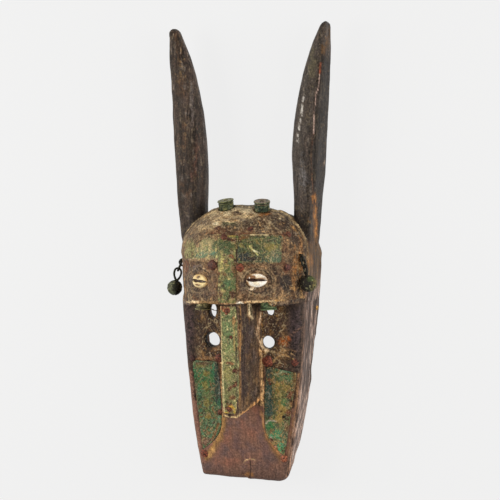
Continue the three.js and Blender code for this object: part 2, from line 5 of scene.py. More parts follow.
import bpy
import numpy as np
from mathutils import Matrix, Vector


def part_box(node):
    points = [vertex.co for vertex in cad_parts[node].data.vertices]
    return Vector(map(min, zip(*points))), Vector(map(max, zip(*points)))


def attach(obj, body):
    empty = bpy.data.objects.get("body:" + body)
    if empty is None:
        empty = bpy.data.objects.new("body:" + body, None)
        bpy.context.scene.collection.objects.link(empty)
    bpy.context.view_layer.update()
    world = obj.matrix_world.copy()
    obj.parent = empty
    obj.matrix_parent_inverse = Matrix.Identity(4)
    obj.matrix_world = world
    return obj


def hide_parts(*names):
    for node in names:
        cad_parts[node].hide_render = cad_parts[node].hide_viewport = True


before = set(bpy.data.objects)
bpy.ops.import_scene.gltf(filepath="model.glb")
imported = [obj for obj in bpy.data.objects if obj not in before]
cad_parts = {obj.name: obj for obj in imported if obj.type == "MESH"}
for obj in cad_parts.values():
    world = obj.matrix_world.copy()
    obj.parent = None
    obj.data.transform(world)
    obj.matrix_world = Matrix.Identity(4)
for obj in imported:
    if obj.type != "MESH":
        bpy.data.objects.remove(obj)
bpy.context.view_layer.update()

import openvdb
from mathutils import Matrix, Vector

# Modelling frame, in millimetres: X across the face, Y from chin to ears, Z out of the face.
# Y = 0 is the lower edge of the brow, which lies this far above the frame's origin.
ORIGIN_Y = 58.25
CHIN_Y, EAR_TIP_Y, LEFT_TIP_DROP = -239.5, 356.0, 2.5
WALL, RIM_WALL = 12.0, 6.0
FACE_Z_BROW, FACE_Z_CHIN = 70.0, 60.0
CHIN_UNDERCUT, UNDERCUT_Y = 6.0, -170.0
VAULT_RADIUS, VAULT_CENTRE_Z, VAULT_EDGE_Z = 91.0, 29.0, 54.0
HEAD_HALF_WIDTH, BROW_HALF_WIDTH = 87.5, 85.0
SHOULDER_Y, CROWN_LENGTH = 48.0, 71.5
CROWN_POWER, CROWN_RIM_POWER = 2.45, 1.85
NOSE_ROOT_HALF, NOSE_FRONT_BOTTOM_Y, NOSE_ROOT_BOTTOM_Y = 27.5, -145.0, -133.0
EAR_BASE_Y, EAR_CENTRE_Z = 121.0, 36.0
# Middle of each, its radius in front and behind, and how far aside it ends behind.
EYE_HOLES = [(-42.2, -56.7, 10.6, 8.8, 0.0), (35.8, -56.6, 9.5, 7.7, -2.2)]
PEEP_HOLES = [(-40.8, -17.6, 5.1, 9.4), (37.9, -13.4, 6.4, 7.5)]
COWRIES = {"cowrie_eye_left": (-41.5, 25.4), "cowrie_eye_right": (36.7, 29.1)}
CARTRIDGES = {
    "cartridge_crown_left": ((-23.1, 115, 61), (-0.09, 0.96, 0.21)),
    "cartridge_crown_right": ((25.7, 114.6, 61.5), (0.06, 0.97, 0.24)),
    "cartridge_brow_left": ((-45.4, -1, 88), (-0.02, -0.998, 0.05)),
    "cartridge_brow_right": ((43.4, 2.5, 88), (0.05, -0.998, 0.03)),
}

# The camera stands where the photograph was taken from.
VIEW_TURN, VIEW_RISE = math.radians(20), math.radians(4.5)
CAMERA_PLACE = (0.553911, 0.130135, 1.558873)
LENS_MM, SENSOR_MM, PHOTO_SIDE = 88.56, 36.0, 500


def add_camera():
    right = Vector((math.cos(VIEW_TURN), 0, -math.sin(VIEW_TURN)))
    back = Vector(
        (
            math.sin(VIEW_TURN) * math.cos(VIEW_RISE),
            math.sin(VIEW_RISE),
            math.cos(VIEW_TURN) * math.cos(VIEW_RISE),
        )
    )
    up = back.cross(right)
    data = bpy.data.cameras.new("camera")
    data.lens, data.sensor_width = LENS_MM, SENSOR_MM
    camera = bpy.data.objects.new("camera", data)
    camera.matrix_world = Matrix.Translation(CAMERA_PLACE) @ Matrix((right, up, back)).transposed().to_4x4()
    bpy.context.scene.collection.objects.link(camera)
    bpy.context.scene.camera = camera
    return np.array(right), np.array(up), np.array(back)


VIEW_RIGHT, VIEW_UP, VIEW_BACK = add_camera()


def photo_place(points):
    """Where points (mm) show in the photograph, in pixels."""
    offset = to_frame(points) - np.array(CAMERA_PLACE)
    depth = -(offset @ VIEW_BACK)
    zoom = LENS_MM / SENSOR_MM * PHOTO_SIDE
    half = PHOTO_SIDE / 2
    return half + zoom * (offset @ VIEW_RIGHT) / depth, half - zoom * (offset @ VIEW_UP) / depth


def to_frame(points):
    return (np.asarray(points, float) - (0, ORIGIN_Y, 0)) / 1000


def mix(a, b, t):
    return a + (b - a) * t


def share(value, start, end):
    """0 at start, 1 at end, straight between."""
    return np.clip((value - start) / (end - start), 0, 1)


def smooth(value, start, end):
    t = share(value, start, end)
    return t * t * (3 - 2 * t)


def bump_between(value, low, high, soft):
    return smooth(value, low - soft, low) * (1 - smooth(value, high, high + soft))


def round_max(a, b, radius):
    """Where both shapes are, with the edge between them rounded."""
    return np.minimum(np.maximum(a, b), -radius) + np.hypot(
        np.maximum(a + radius, 0), np.maximum(b + radius, 0)
    )


def round_min(a, b, radius):
    return -round_max(-a, -b, radius)


def lattice_noise(points, seed):
    """Smooth random values from -1 to 1 that change over about one unit."""
    lattice = np.random.RandomState(seed).uniform(-1, 1, (32, 32, 32)).astype(np.float32)
    cell = np.floor(points).astype(np.int32)
    t = (points - cell).astype(np.float32)
    t = t * t * (3 - 2 * t)
    low, high = cell & 31, (cell + 1) & 31
    value = 0
    for corner in range(8):
        pick = [(high if corner >> axis & 1 else low)[:, axis] for axis in range(3)]
        weight = 1
        for axis in range(3):
            weight = weight * (t[:, axis] if corner >> axis & 1 else 1 - t[:, axis])
        value = value + weight * lattice[pick[0], pick[1], pick[2]]
    return value


def noise(points, size, seed, octaves=2):
    """Layered noise whose lumps are about size millimetres; size may differ by axis."""
    scaled = points / np.asarray(size, np.float32)
    value, weight, total = 0, 1.0, 0
    for octave in range(octaves):
        value = value + weight * lattice_noise(scaled * 2.03**octave + 7.3 * octave, seed + octave)
        total += weight
        weight *= 0.5
    return value / total


# The form of the wood, as in the solid model.
def face_z(y):
    return mix(FACE_Z_BROW, FACE_Z_CHIN, np.clip(y / CHIN_Y, -0.2, 1))


def face_half(y):
    return 82.5 - 0.00042 * np.maximum(0, -y) ** 2


def rim_half(y):
    down = np.maximum(0, -y)
    bulge = 3.5 * np.sin(math.pi / 2 * np.clip(y / 45, 0, 1))
    return 84.5 + bulge - 0.0728 * down - 0.000346 * down**2


def head_half(y, z):
    edge = mix(BROW_HALF_WIDTH, HEAD_HALF_WIDTH, np.clip(y / 25, 0, 1))
    return mix(rim_half(y), edge, np.clip(z / VAULT_EDGE_Z, 0, 1))


def brow_y(x):
    return -2.5 + 0.06 * x


def worn_brow_y(x):
    """The lower edge of the brow as it is worn now, lower at both ends."""
    lower_left, lower_right = 3.0 * smooth(-x, 52, 64), 6.0 * smooth(x, 47, 53)
    return brow_y(x) - lower_left - lower_right + 1.8 * np.exp(-(((x + 33) / 9) ** 2))


def nose_front_z(y):
    return mix(115, 112, np.clip(y / NOSE_FRONT_BOTTOM_Y, -0.1, 1))


def nose_half(y):
    return mix(11.6, 9.8, np.clip(y / NOSE_FRONT_BOTTOM_Y, 0, 1))


def vault_z(x, y):
    across = np.abs(x) * HEAD_HALF_WIDTH / head_half(y, VAULT_EDGE_Z)
    up = np.maximum(0, y - SHOULDER_Y) * HEAD_HALF_WIDTH / CROWN_LENGTH
    reach = (across**CROWN_POWER + up**CROWN_POWER) ** (1 / CROWN_POWER)
    return VAULT_CENTRE_Z + np.sqrt(VAULT_RADIUS**2 - np.minimum(reach, HEAD_HALF_WIDTH) ** 2)


def normal_of(surface, x, y):
    """Outward normals of a height surface z = surface(x, y)."""
    slope_x = (surface(x + 0.5, y) - surface(x - 0.5, y)) / 1.0
    slope_y = (surface(x, y + 0.5) - surface(x, y - 0.5)) / 1.0
    normal = np.stack([-slope_x, -slope_y, np.ones_like(slope_x)], -1)
    return normal / np.linalg.norm(normal, axis=-1, keepdims=True)


CELL = 1.5
GRID_LOW = np.array([-113.0, -244.0, -4.0])
GRID_HIGH = np.array([113.0, 361.0, 125.0])
axes = [np.arange(GRID_LOW[i], GRID_HIGH[i], CELL, dtype=np.float32) for i in range(3)]
X, Y, Z = axes[0][:, None, None], axes[1][None, :, None], axes[2][None, None, :]


def even(field):
    """Rescale a field so that near its zero it measures true distance."""
    slopes = np.gradient(field, CELL)
    steep = np.sqrt(slopes[0] ** 2 + slopes[1] ** 2 + slopes[2] ** 2)
    return field / np.maximum(steep, 0.35)


def left_swell(y):
    """How much further the left side reaches out than an even form would."""
    down = 1.6 + 1.7 * smooth(-y, 115, 180) + 2.0 * smooth(y, -60, -4)
    beside_bell = 1.2 + 2.2 * bump_between(y, 58, 80, 9)
    return mix(down, beside_bell, smooth(y, -3, 6)) * (1 - smooth(y, 85, 100))


def right_swell(y):
    """How much further the right wall reaches out than an even form would."""
    lower = 2.6 * bump_between(y, -198, -116, 22)
    return lower + 0.9 * bump_between(y, -50, 10, 12) + 1.8 * bump_between(y, 60, 80, 12)


def worn_chin(x):
    """How far the chin reaches below its even end."""
    low = 1.6 + 2.0 * np.exp(-(((x + 17) / 22) ** 2)) + 1.8 * smooth(-x, 10, 70)
    return low + 1.6 * smooth(x, 2.5, 5.0) - 0.9 * smooth(x, 42, 60)


def muzzle_field(inset, end_y):
    top = face_z(Y) - inset
    rim = rim_half(Y) - (RIM_WALL if inset else 0)
    edge = 10.0 if not inset else 7.0
    upper = face_half(Y) - inset
    if not inset:
        rim = rim + right_swell(Y) * (X > 0)
        upper = upper + left_swell(Y) * (X < 0)
    side = np.abs(X) - mix(rim, upper, np.clip(Z / (top - edge), 0, 1))
    undercut = CHIN_UNDERCUT * share(Y, UNDERCUT_Y, CHIN_Y) * (1 - Z / top)
    worn_end = 0 if inset else worn_chin(X)
    chin = CHIN_Y - worn_end + inset + undercut - Y
    corner = np.where(X < 0, 4.5, 11.0) if not inset else 14.0
    field = round_max(side, chin, corner)
    return np.maximum(round_max(field, Z - top, edge), Y - end_y)


def head_field(inset):
    height = np.clip(Z / VAULT_EDGE_Z, 0, 1)
    edge_share = math.sqrt((VAULT_RADIUS - inset) ** 2 - (VAULT_EDGE_Z - VAULT_CENTRE_Z) ** 2)
    edge_share /= HEAD_HALF_WIDTH
    limit = mix(1 - (RIM_WALL if inset else 0) / HEAD_HALF_WIDTH, edge_share, height)
    power = mix(CROWN_RIM_POWER, CROWN_POWER, height)
    across = np.abs(X) / head_half(Y, Z)
    up = np.maximum(0, Y - SHOULDER_Y) / CROWN_LENGTH
    if not inset:
        swell = np.where(X < 0, left_swell(Y) * height, right_swell(Y) * (1 - height))
        across = np.abs(X) / (head_half(Y, Z) + swell)
        lower_rear = 0.045 * bump_between(X, 14, 40, 8) * (1 - share(Z, 0, 40))
        higher_front = 0.028 * bump_between(X, -46, -8, 8) + 0.055 * bump_between(X, 50, 62, 9)
        up = up * (1 + lower_rear - higher_front * smooth(Z, 20, 54))
    reach = (across**power + up**power) ** (1 / power)
    low = (reach - limit) * HEAD_HALF_WIDTH
    dome = np.hypot(reach * HEAD_HALF_WIDTH, Z - VAULT_CENTRE_Z) - (VAULT_RADIUS - inset)
    edge = worn_brow_y(X) if not inset else brow_y(X) + inset
    return even(np.where(Z < VAULT_EDGE_Z, low, dome)), edge - Y


def nose_field():
    front, root = nose_front_z(Y), face_z(Y)
    rise = (Z - root) / (front - root)
    side = (np.abs(X) - mix(NOSE_ROOT_HALF, nose_half(Y), rise)) * 0.94
    bottom = mix(NOSE_ROOT_BOTTOM_Y, NOSE_FRONT_BOTTOM_Y - 4.5, rise) - Y
    field = round_max(side, Z - front, 1.4)
    field = round_max(field, bottom, 1.2)
    return np.maximum(field, np.maximum(Y - 8, root - 6 - Z))


def ear_field(side):
    tip = EAR_TIP_Y - (LEFT_TIP_DROP if side < 0 else 0)
    rise = (Y - EAR_BASE_Y) / (tip - EAR_BASE_Y)
    outer = np.where(rise < 0, 96.5 + (28 if side < 0 else 20) * rise, mix(96.5, 109, rise))
    inner = mix(63.5, 101, np.clip((rise - 0.25) / 0.75, 0, 1) ** 2)
    if side < 0:
        outer = outer + 1.2 + 2.2 * smooth(rise, 0.0, 0.6)
        outer = outer + 0.9 * np.exp(-(((rise - 0.82) / 0.07) ** 2))
        outer = outer - 0.8 * np.exp(-(((rise - 0.57) / 0.06) ** 2))
        inner = inner - 1.3 - 1.2 * np.exp(-(((rise - 0.17) / 0.16) ** 2)) + 1.8 * smooth(rise, 0.83, 0.97)
    else:
        outer = outer + 2.4 * smooth(rise, 0.02, 0.2) * (1 - smooth(rise, 0.8, 1)) - 1.3
        inner = inner - 1.3 - 3.5 * smooth(rise, 0.0, 0.3) * (1 - 0.5 * smooth(rise, 0.86, 1))
    close = np.sqrt(np.maximum(1 - np.clip((Y - (tip - 7)) / 7.3, 0, 1) ** 2, 1e-3))
    wide = (outer - inner) / 2 * close
    deep = mix(19, 9, np.clip(rise, 0, 1) ** 1.5) * close
    u = (side * X - (outer + inner) / 2) / wide
    v = (Z - EAR_CENTRE_Z) / deep
    lean = 6.0 * np.clip(0.5 + v / 2, 0, 1) if side > 0 else 0.0
    u = np.where(u > 0, u * (1 + lean / wide), u)
    power = np.where(u > 0, 7.0, 2.4)
    field = ((np.abs(u) ** power + np.abs(v) ** power) ** (1 / power) - 1) * np.minimum(wide, deep)
    field = np.minimum(even(field), 40) + 1.6 * smooth(-Y, -78, -64)
    field = np.maximum(field, np.maximum(Y - tip, 64 - Y))
    return field


def carve_wood():
    head, brow = head_field(0)
    inner_head, inner_brow = head_field(WALL)
    head = round_max(head, brow, 1.6)
    hollow = round_min(muzzle_field(WALL, 24), round_max(inner_head, inner_brow, 4.0), 4.0)
    muzzle = muzzle_field(0, 30)
    nose = nose_field()
    ears = np.minimum(ear_field(-1), ear_field(1))
    outside = round_min(np.minimum(muzzle, head), nose, 1.5)
    outside = np.where(Y > 40, round_min(outside, ears, 2.5), outside)
    wood = round_max(outside, -hollow, 2.0)
    wood = round_max(wood, -Z, 1.2)
    for x, y, front, back, aside in EYE_HOLES:
        deep = share(Z, 68, 57)
        hole = mix(front, back, deep) - np.hypot(X - x - aside * deep, Y - y)
        wood = round_max(wood, np.where((Z > 40) & (Z < 85), hole, -50), 1.3)
    for x, y, half_width, half_height in PEEP_HOLES:
        hole = (1 - np.hypot((X - x) / half_width, (Y - y) / half_height)) * half_width
        wood = round_max(wood, np.where((Z > 40) & (Z < 85), hole, -50), 1.0)
    # A splinter of wood still crosses the upper left hole.
    left, right = np.array([-49.5, -14.6, 66.0]), np.array([-33.5, -18.4, 66.0])
    along = np.clip(((X - left[0]) * 16 - (Y - left[1]) * 3.8) / (16**2 + 3.8**2), 0, 1)
    splinter = np.sqrt(
        (X - left[0] - 16 * along) ** 2 + (Y - left[1] + 3.8 * along) ** 2 + (Z - 66) ** 2
    ) - 1.1
    wood = round_min(wood, splinter, 0.6)
    parts = {"muzzle": muzzle, "head": head, "nose": nose, "ears": ears, "hollow": hollow}
    return wood, parts


def field_at(field, points):
    """Read a grid field at points by straight interpolation."""
    place = (points - GRID_LOW) / CELL
    cell = np.clip(np.floor(place).astype(np.int32), 0, np.array(field.shape) - 2)
    t = (place - cell).astype(np.float32)
    value = 0
    for corner in range(8):
        step = [corner >> axis & 1 for axis in range(3)]
        weight = 1
        for axis in range(3):
            weight = weight * (t[:, axis] if step[axis] else 1 - t[:, axis])
        value = value + weight * field[cell[:, 0] + step[0], cell[:, 1] + step[1], cell[:, 2] + step[2]]
    return value


def near_points(field, reach):
    """The grid cells within reach of the surface, and where they are."""
    cells = np.nonzero(np.abs(field) < reach)
    points = np.stack([axes[i][cells[i]] for i in range(3)], -1)
    return cells, points


def mesh_object(name, points, faces, material=None, slot=None, replaced=()):
    """A piece of the mask from points in millimetres, riding on the root body."""
    mesh = bpy.data.meshes.new(name)
    mesh.from_pydata(to_frame(points).tolist(), [], faces)
    mesh.update()
    mesh.shade_smooth()
    piece = bpy.data.objects.new(name, mesh)
    bpy.context.scene.collection.objects.link(piece)
    if material:
        mesh.materials.append(material)
    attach(piece, "root")
    if replaced:
        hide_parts(*replaced)
    return piece


def polygons_of(field, adaptivity):
    grid = openvdb.FloatGrid()
    grid.background = 10.0
    grid.copyFromArray(np.ascontiguousarray(np.clip(field, -8, 8), dtype=np.float32))
    points, triangles, quads = grid.convertToPolygons(isovalue=0.0, adaptivity=adaptivity)
    points = np.asarray(points, float) * CELL + GRID_LOW
    return points, np.asarray(triangles, int), np.asarray(quads, int)


def largest_part(points, triangles, quads):
    """Leave out the loose crumbs of a mesh."""
    edges = np.concatenate([triangles[:, :2], triangles[:, 1:], quads[:, :2], quads[:, 1:3], quads[:, 2:]])
    label, before = np.arange(len(points)), None
    while before is None or (label != before).any():
        before = label.copy()
        lowest = np.minimum(label[edges[:, 0]], label[edges[:, 1]])
        np.minimum.at(label, edges[:, 0], lowest)
        np.minimum.at(label, edges[:, 1], lowest)
        label = label[label]
    kept = label == np.bincount(label).argmax()
    number = np.cumsum(kept) - 1
    return points[kept], number[triangles[kept[triangles[:, 0]]]], number[quads[kept[quads[:, 0]]]]


wood_field, wood_parts = carve_wood()


def along_path(u, v, path, width):
    """1 on a line through the photograph's places, falling to 0 away from it."""
    nearest = np.full(np.shape(u), 1e9)
    for (u0, v0), (u1, v1) in zip(path, path[1:]):
        step_u, step_v = u1 - u0, v1 - v0
        t = np.clip(((u - u0) * step_u + (v - v0) * step_v) / (step_u**2 + step_v**2 + 1e-9), 0, 1)
        nearest = np.minimum(nearest, np.hypot(u - u0 - t * step_u, v - v0 - t * step_v))
    return np.exp(-((nearest / width) ** 2))


def sheet_inner_edge(y, side):
    """Where the cheek sheet's inner edge runs, as a distance from the middle of the face."""
    inner, outer = (31.0, 57.5) if side < 0 else (30.0, 56.5)
    narrow = (3.4 if side < 0 else 2.8) * (1 - smooth(-y, 95, 135))
    return mix(inner + narrow, outer, np.clip((-165 - y) / 40, 0, 1) ** 2.2)


def sheet_outer_edge(y, side):
    top, bottom = (71.0, 58.5) if side < 0 else (76.0, 57.0)
    return mix(top, bottom, share(y, -89, -205))


# Sheets on the forehead: left and right edge, and the lower and upper edge at each of those.
FOREHEAD_SHEETS = {
    "forehead_band_left": (-67.0, -12.0, (50.0, 51.0), (78.0, 87.0)),
    "forehead_band_right": (12.0, 62.8, (50.0, 50.0), (86.5, 85.5)),
    "forehead_strip": (-13.0, 11.4, (0.0, 0.0), (84.5, 84.5)),
}

# Lines and marks of the wood, as places in the photograph.
EAR_CRACK = [
    (320.4, 63), (319.5, 74), (318.6, 87.5), (315.8, 95), (315.2, 105), (314, 119),
    (313.4, 134), (312, 146), (311.2, 159), (312, 177), (313, 192),
]
EAR_SPLIT = [(314, 195), (314.8, 210), (315.6, 226), (315.8, 243)]
SHEET_LUMP = [(273, 361), (280, 356), (289, 356.5), (295, 361)]
CHIN_CRACK = [(250.3, 461), (250.6, 468), (250, 477)]
CHIN_ARC = [(243.4, 462.6), (246.5, 459.7), (250.5, 458.5), (255.5, 460)]
CHIN_LINE = [(243.4, 463), (247, 464.6), (251.5, 465), (256, 463)]


def detail_wood(field, parts):
    """Carve the tool marks, grain, cracks, seats and worn edges into the field near its surface."""
    cells, p = near_points(field, 3.2)
    x, y, z = p.T
    u, v = photo_place(p)
    part = {name: grid[cells] if grid.shape == field.shape else None for name, grid in parts.items()}
    inside = smooth(part["hollow"], 5.0, 2.0)
    outside = 1 - inside
    in_ear = (part["ears"] < np.minimum(part["head"], part["muzzle"])).astype(np.float32)
    on_dome = smooth(z, 52, 56) * (y > brow_y(x) - 3) * (1 - in_ear)
    on_nose = (part["nose"] < np.minimum(part["muzzle"], part["head"]) - 0.2).astype(np.float32)
    on_face = (y < brow_y(x) + 2) * smooth(z, face_z(y) - 4, face_z(y) - 1) * (1 - on_nose) * outside
    on_wall = smooth(face_z(y) - z, 5, 9) * (1 - in_ear) * outside
    carve = 0.3 * noise(p, 17, 11) + 0.16 * noise(p, 6, 12)
    carve += outside * (1 - on_dome) * 0.2 * noise(p, (3.0, 70, 3.0), 21)
    carve += on_wall * (0.25 + 0.3 * (x > 0)) * smooth(-y, -60, 20) * noise(p, (4.5, 110, 4.5), 23)
    carve += on_dome * (0.22 * noise(p, 4.2, 25, 3) + 0.25 * noise(p, (9, 9, 9), 26))
    carve += in_ear * (0.35 * noise(p, (9, 45, 9), 27))
    carve += inside * 0.6 * noise(p, (9, 20, 9), 29)
    # The vault ends in a thin raised line with a groove above it.
    ring = on_dome * (y > 8) * outside
    carve -= ring * 0.7 * np.exp(-(((z - 56.0) / 1.3) ** 2))
    carve += ring * 0.8 * np.exp(-(((z - 60.5) / 2.0) ** 2)) * (0.7 + 0.5 * noise(p, 14, 31))
    # The lower edge of the brow is worn and chipped.
    brow_edge = np.exp(-(((y - brow_y(x)) / 3.0) ** 2)) * smooth(z, 66, 72) * outside
    carve += brow_edge * (0.35 + 0.7 * noise(p, 7, 33))
    # Seats and engraved rings of the shell eyes.
    for name, depth in (("cowrie_eye_left", 0.35), ("cowrie_eye_right", 1.0)):
        cx, cy = COWRIES[name]
        axis = normal_of(vault_z, np.float64(cx), np.float64(cy))
        offset = p - (cx, cy, vault_z(cx, cy))
        up = offset @ axis
        reach = np.sqrt(np.maximum((offset**2).sum(-1) - up**2, 0))
        near = np.abs(up) < 7
        carve += near * 0.9 * (1 - smooth(reach, 12.5, 14.5))
        carve += near * depth * np.exp(-(((reach - 15.4) / 0.9) ** 2))
        carve += near * depth * 0.5 * np.exp(-(((reach - 18.6) / 1.0) ** 2))
    # Sockets of the cartridge heads.
    for place, heading in CARTRIDGES.values():
        axis = np.array(heading) / np.linalg.norm(heading)
        offset = p - place
        up = offset @ axis
        reach = np.sqrt(np.maximum((offset**2).sum(-1) - up**2, 0))
        carve += 6 * smooth(up, -2.0, -0.4) * (1 - smooth(reach, 10.2, 11.2))
    # Lips along the inner edges of the cheek sheets, and the shallow beds that the sheets lie in.
    for side in (-1, 1):
        reach = side * x
        inner, outer = sheet_inner_edge(y, side), sheet_outer_edge(y, side)
        run = smooth(y, -222, -212) * smooth(-y, 62 if side < 0 else 20, 80 if side < 0 else 30)
        lip = np.exp(-(((reach - inner + 1.8) / 1.5) ** 2)) * run * on_face
        carve -= 1.1 * lip * (1 + 0.4 * noise(p, (5, 12, 5), 35))
        bed_top = -85.0 if side < 0 else -87.0 - 0.15 * (reach - 30)
        bed = bump_between(reach, inner - 0.6, outer + 0.6, 1.2) * bump_between(y, -206, bed_top, 1.5)
        carve += on_face * bed * (1.0 - 0.75 * carve)
        top_lip = np.exp(-(((y - bed_top - 2.2) / 1.6) ** 2)) * bump_between(reach, inner, outer, 3) * on_face
        carve -= 0.8 * top_lip * (1 + 0.6 * noise(p, 6, 36))
    # Scoops beside the top of the nose, the pit on the crown and a lump above the right sheet.
    for side in (-1, 1):
        scoop = ((x - side * 29) / 6.5) ** 2 + ((y + 8) / 6) ** 2 + ((z - 76) / 9) ** 2
        carve += 3.4 * np.exp(-scoop) * outside
    carve += 2.6 * np.exp(-(((x + 6) / 8.5) ** 2 + ((y - 111) / 5.0) ** 2 + ((z - 71) / 9) ** 2))
    carve -= 1.4 * on_face * along_path(u, v, SHEET_LUMP, 2.2)
    # The wood is flatter under the sheets of the forehead and the nose.
    for left, right, lower, upper in FOREHEAD_SHEETS.values():
        low, high = mix(*lower, share(x, left, right)), mix(*upper, share(x, left, right))
        under = on_dome * bump_between(x, left, right, 1.0) * bump_between(y, low, high, 1.0)
        carve = mix(carve, 0.3, under * 0.9)
    under = on_nose * smooth(z, 108, 111) * bump_between(y, NOSE_FRONT_BOTTOM_Y + 2, 4, 1.0)
    carve = mix(carve, 0.2, under * 0.9 * (1 - smooth(np.abs(x), 8.5, 10.5)))
    # Cracks.
    right_ear = in_ear * (x > 0)
    carve += right_ear * (z > 36) * 1.1 * along_path(u, v, EAR_CRACK, 0.7)
    ear_split = right_ear * (z > 30) * 0.9 * along_path(u, v, EAR_SPLIT, 2.0)
    carve += ear_split * (0.6 + 0.8 * noise(p, (3, 9, 3), 37))
    carve += (y < -150) * outside * 1.6 * along_path(u, v, CHIN_CRACK, 0.7)
    carve += on_face * 0.7 * along_path(u, v, CHIN_ARC, 0.8)
    carve += on_face * 0.3 * along_path(u, v, CHIN_LINE, 0.8)
    field[cells] += carve
    return field


wood_field = detail_wood(wood_field, wood_parts)
points, triangles, quads = largest_part(*polygons_of(wood_field, 0.003))
points[:, 2] = np.maximum(points[:, 2], 0)
faces = triangles.tolist() + quads.tolist()
wood_piece = mesh_object("mask_wood", points, faces, slot="carved_wood", replaced=("mask_body",))


def surface_facts(field, points):
    """Outward normals and how strongly the surface bulges (edges) or sinks (hollows) at points."""
    slopes = np.gradient(np.clip(field, -12, 12), CELL)
    normal = np.stack([field_at(slope, points) for slope in slopes], -1)
    normal /= np.maximum(np.linalg.norm(normal, axis=1, keepdims=True), 1e-6)
    around = sum(np.roll(field, 1, axis) + np.roll(field, -1, axis) for axis in range(3))
    return normal, field_at(around / 6 - field, points) / CELL


class Coat:
    """Colour laid on the points of a piece in layers, as measured on the photograph's marks."""

    def __init__(self, points, normals, base, seed):
        self.p = np.asarray(points, float)
        self.u, self.v = photo_place(self.p)
        away = to_frame(self.p) - np.array(CAMERA_PLACE)
        away /= np.linalg.norm(away, axis=1, keepdims=True)
        self.facing = smooth(-(away * normals).sum(1), 0.0, 0.25)
        self.colour = np.tile(np.array(base, float), (len(self.p), 1))
        self.other = self.colour * 0.55
        self.share = np.full(len(self.p), 0.3)
        self.hair = np.zeros(len(self.p))
        self.calm = np.zeros(len(self.p))
        self.seed = seed
        self.rough_edge = noise(self.p, 3.6, seed + 900, 3)
        self.broad = noise(self.p, 14, seed + 901, 3)
        self.dark_crumbs = smooth(noise(self.p, 2.8, seed + 902, 2), 0.05, 0.35)
        self.light_crumbs = smooth(noise(self.p, 2.6, seed + 903, 2), 0.2, 0.45)

    def noise(self, size, octaves=2, at=None):
        self.seed += 3
        return noise(self.p if at is None else at, size, self.seed, octaves)

    def lay(self, tone, mask, fade=0.0):
        mask = np.clip(mask, 0, 1)
        self.colour = mix(self.colour, np.array(tone, float), mask[:, None])
        self.share = self.share * (1 - fade * mask)

    def fleck(self, tone, mask, amount):
        """The second tone that shows through in fine flecks, and how much of it."""
        mask = np.clip(mask * np.ones(len(self.p)), 0, 1)
        self.other = mix(self.other, np.array(tone, float), mask[:, None])
        self.share = mix(self.share, amount, mask)

    def patch_mask(self, u, v, reach_u, reach_v, ragged=0.6):
        """One near a place in the photograph, with a ragged edge."""
        away = np.hypot((self.u - u) / reach_u, (self.v - v) / reach_v)
        return smooth(1.15 - away + ragged * self.rough_edge, 0.0, 0.55) * self.facing

    def patch(self, tone, u, v, reach_u, reach_v, strength=1.0, ragged=0.6, where=1.0):
        """A tone round a place in the photograph, for stains and also for painted shade and painted
        highlights.
        """
        self.lay(tone, self.patch_mask(u, v, reach_u, reach_v, ragged) * strength * where, 0.3)

    def rust(self, tone, u, v, reach_u, reach_v, strength=1.0, where=1.0):
        """A stain of rust with darker and lighter crumbs in it."""
        self.patch(tone, u, v, reach_u, reach_v, strength, 1.1, where)
        self.patch((62, 38, 29), u, v, reach_u, reach_v, strength, 1.1, where * self.dark_crumbs)
        self.patch((156, 116, 74), u, v, reach_u, reach_v, strength * 0.8, 1.1, where * self.light_crumbs)

    def line(self, tone, path, width, strength=1.0, where=1.0, ragged=0.5):
        mask = along_path(self.u, self.v, path, width) + ragged * 0.6 * self.rough_edge
        near = along_path(self.u, self.v, path, width * 1.8)
        laid = smooth(mask, 0.25, 0.75) * smooth(near, 0.1, 0.4) * strength * where * self.facing
        self.lay(tone, laid, 0.6)

    def veil(self, tone, where, size, low, high, strength=1.0, octaves=3, at=None):
        """A tone that comes in as noise of this size runs from low to high."""
        self.lay(tone, where * smooth(self.noise(size, octaves, at), low, high) * strength)

    def marks(self, rows, where=1.0):
        """Rows of stains, rust and lines, laid in their order; some rows are painted shade and painted
        highlights.
        """
        for kind, tone, *how in rows:
            if kind == "line":
                path, width, strength, ragged = how
                self.line(tone, path, width, strength, where, ragged)
                continue
            for *place, strength in how[-1]:
                if kind == "rust":
                    self.rust(tone, *place, strength, where)
                else:
                    self.patch(tone, *place, strength, how[0], where)

    def spots(self, places):
        """One mask for each of several places."""
        return [self.patch_mask(*place) for place in places]

    def scratches(self, tone, mask, size, strength, cut=0.35):
        """Thin broken lines in one direction."""
        self.lay(tone, smooth(np.abs(self.noise(size, 2)), cut, cut + 0.3) * mask * strength)

    def speckle(self):
        """Fine light and dark spots over the whole sheet."""
        self.colour *= 1 - 0.45 * smooth(self.noise(2.6, 3), 0.1, 0.45)[:, None]
        self.colour += (52, 44, 22) * smooth(self.noise(2.2, 3), 0.15, 0.5)[:, None]

    def put_on(self, piece):
        for name, tones in (("paint", self.colour), ("other", self.other)):
            shade = np.clip(tones, 0, 255) / 255
            linear = np.where(shade < 0.04045, shade / 12.92, ((shade + 0.055) / 1.055) ** 2.4)
            set_attribute(piece, name, linear)
        for name in ("share", "hair", "calm"):
            set_attribute(piece, name, np.clip(getattr(self, name), 0, 1))


def set_attribute(piece, name, values):
    mesh = piece.data
    values = np.asarray(values, np.float32)
    if values.ndim == 2:
        full = np.concatenate([values, np.ones((len(values), 1), np.float32)], 1)
        mesh.attributes.new(name, "FLOAT_COLOR", "POINT").data.foreach_set("color", full.ravel())
    else:
        mesh.attributes.new(name, "FLOAT", "POINT").data.foreach_set("value", values)


SOOT, UMBER, WALNUT, CREAM, PLUM = (58, 49, 46), (66, 48, 38), (88, 66, 50), (222, 186, 140), (74, 58, 60)

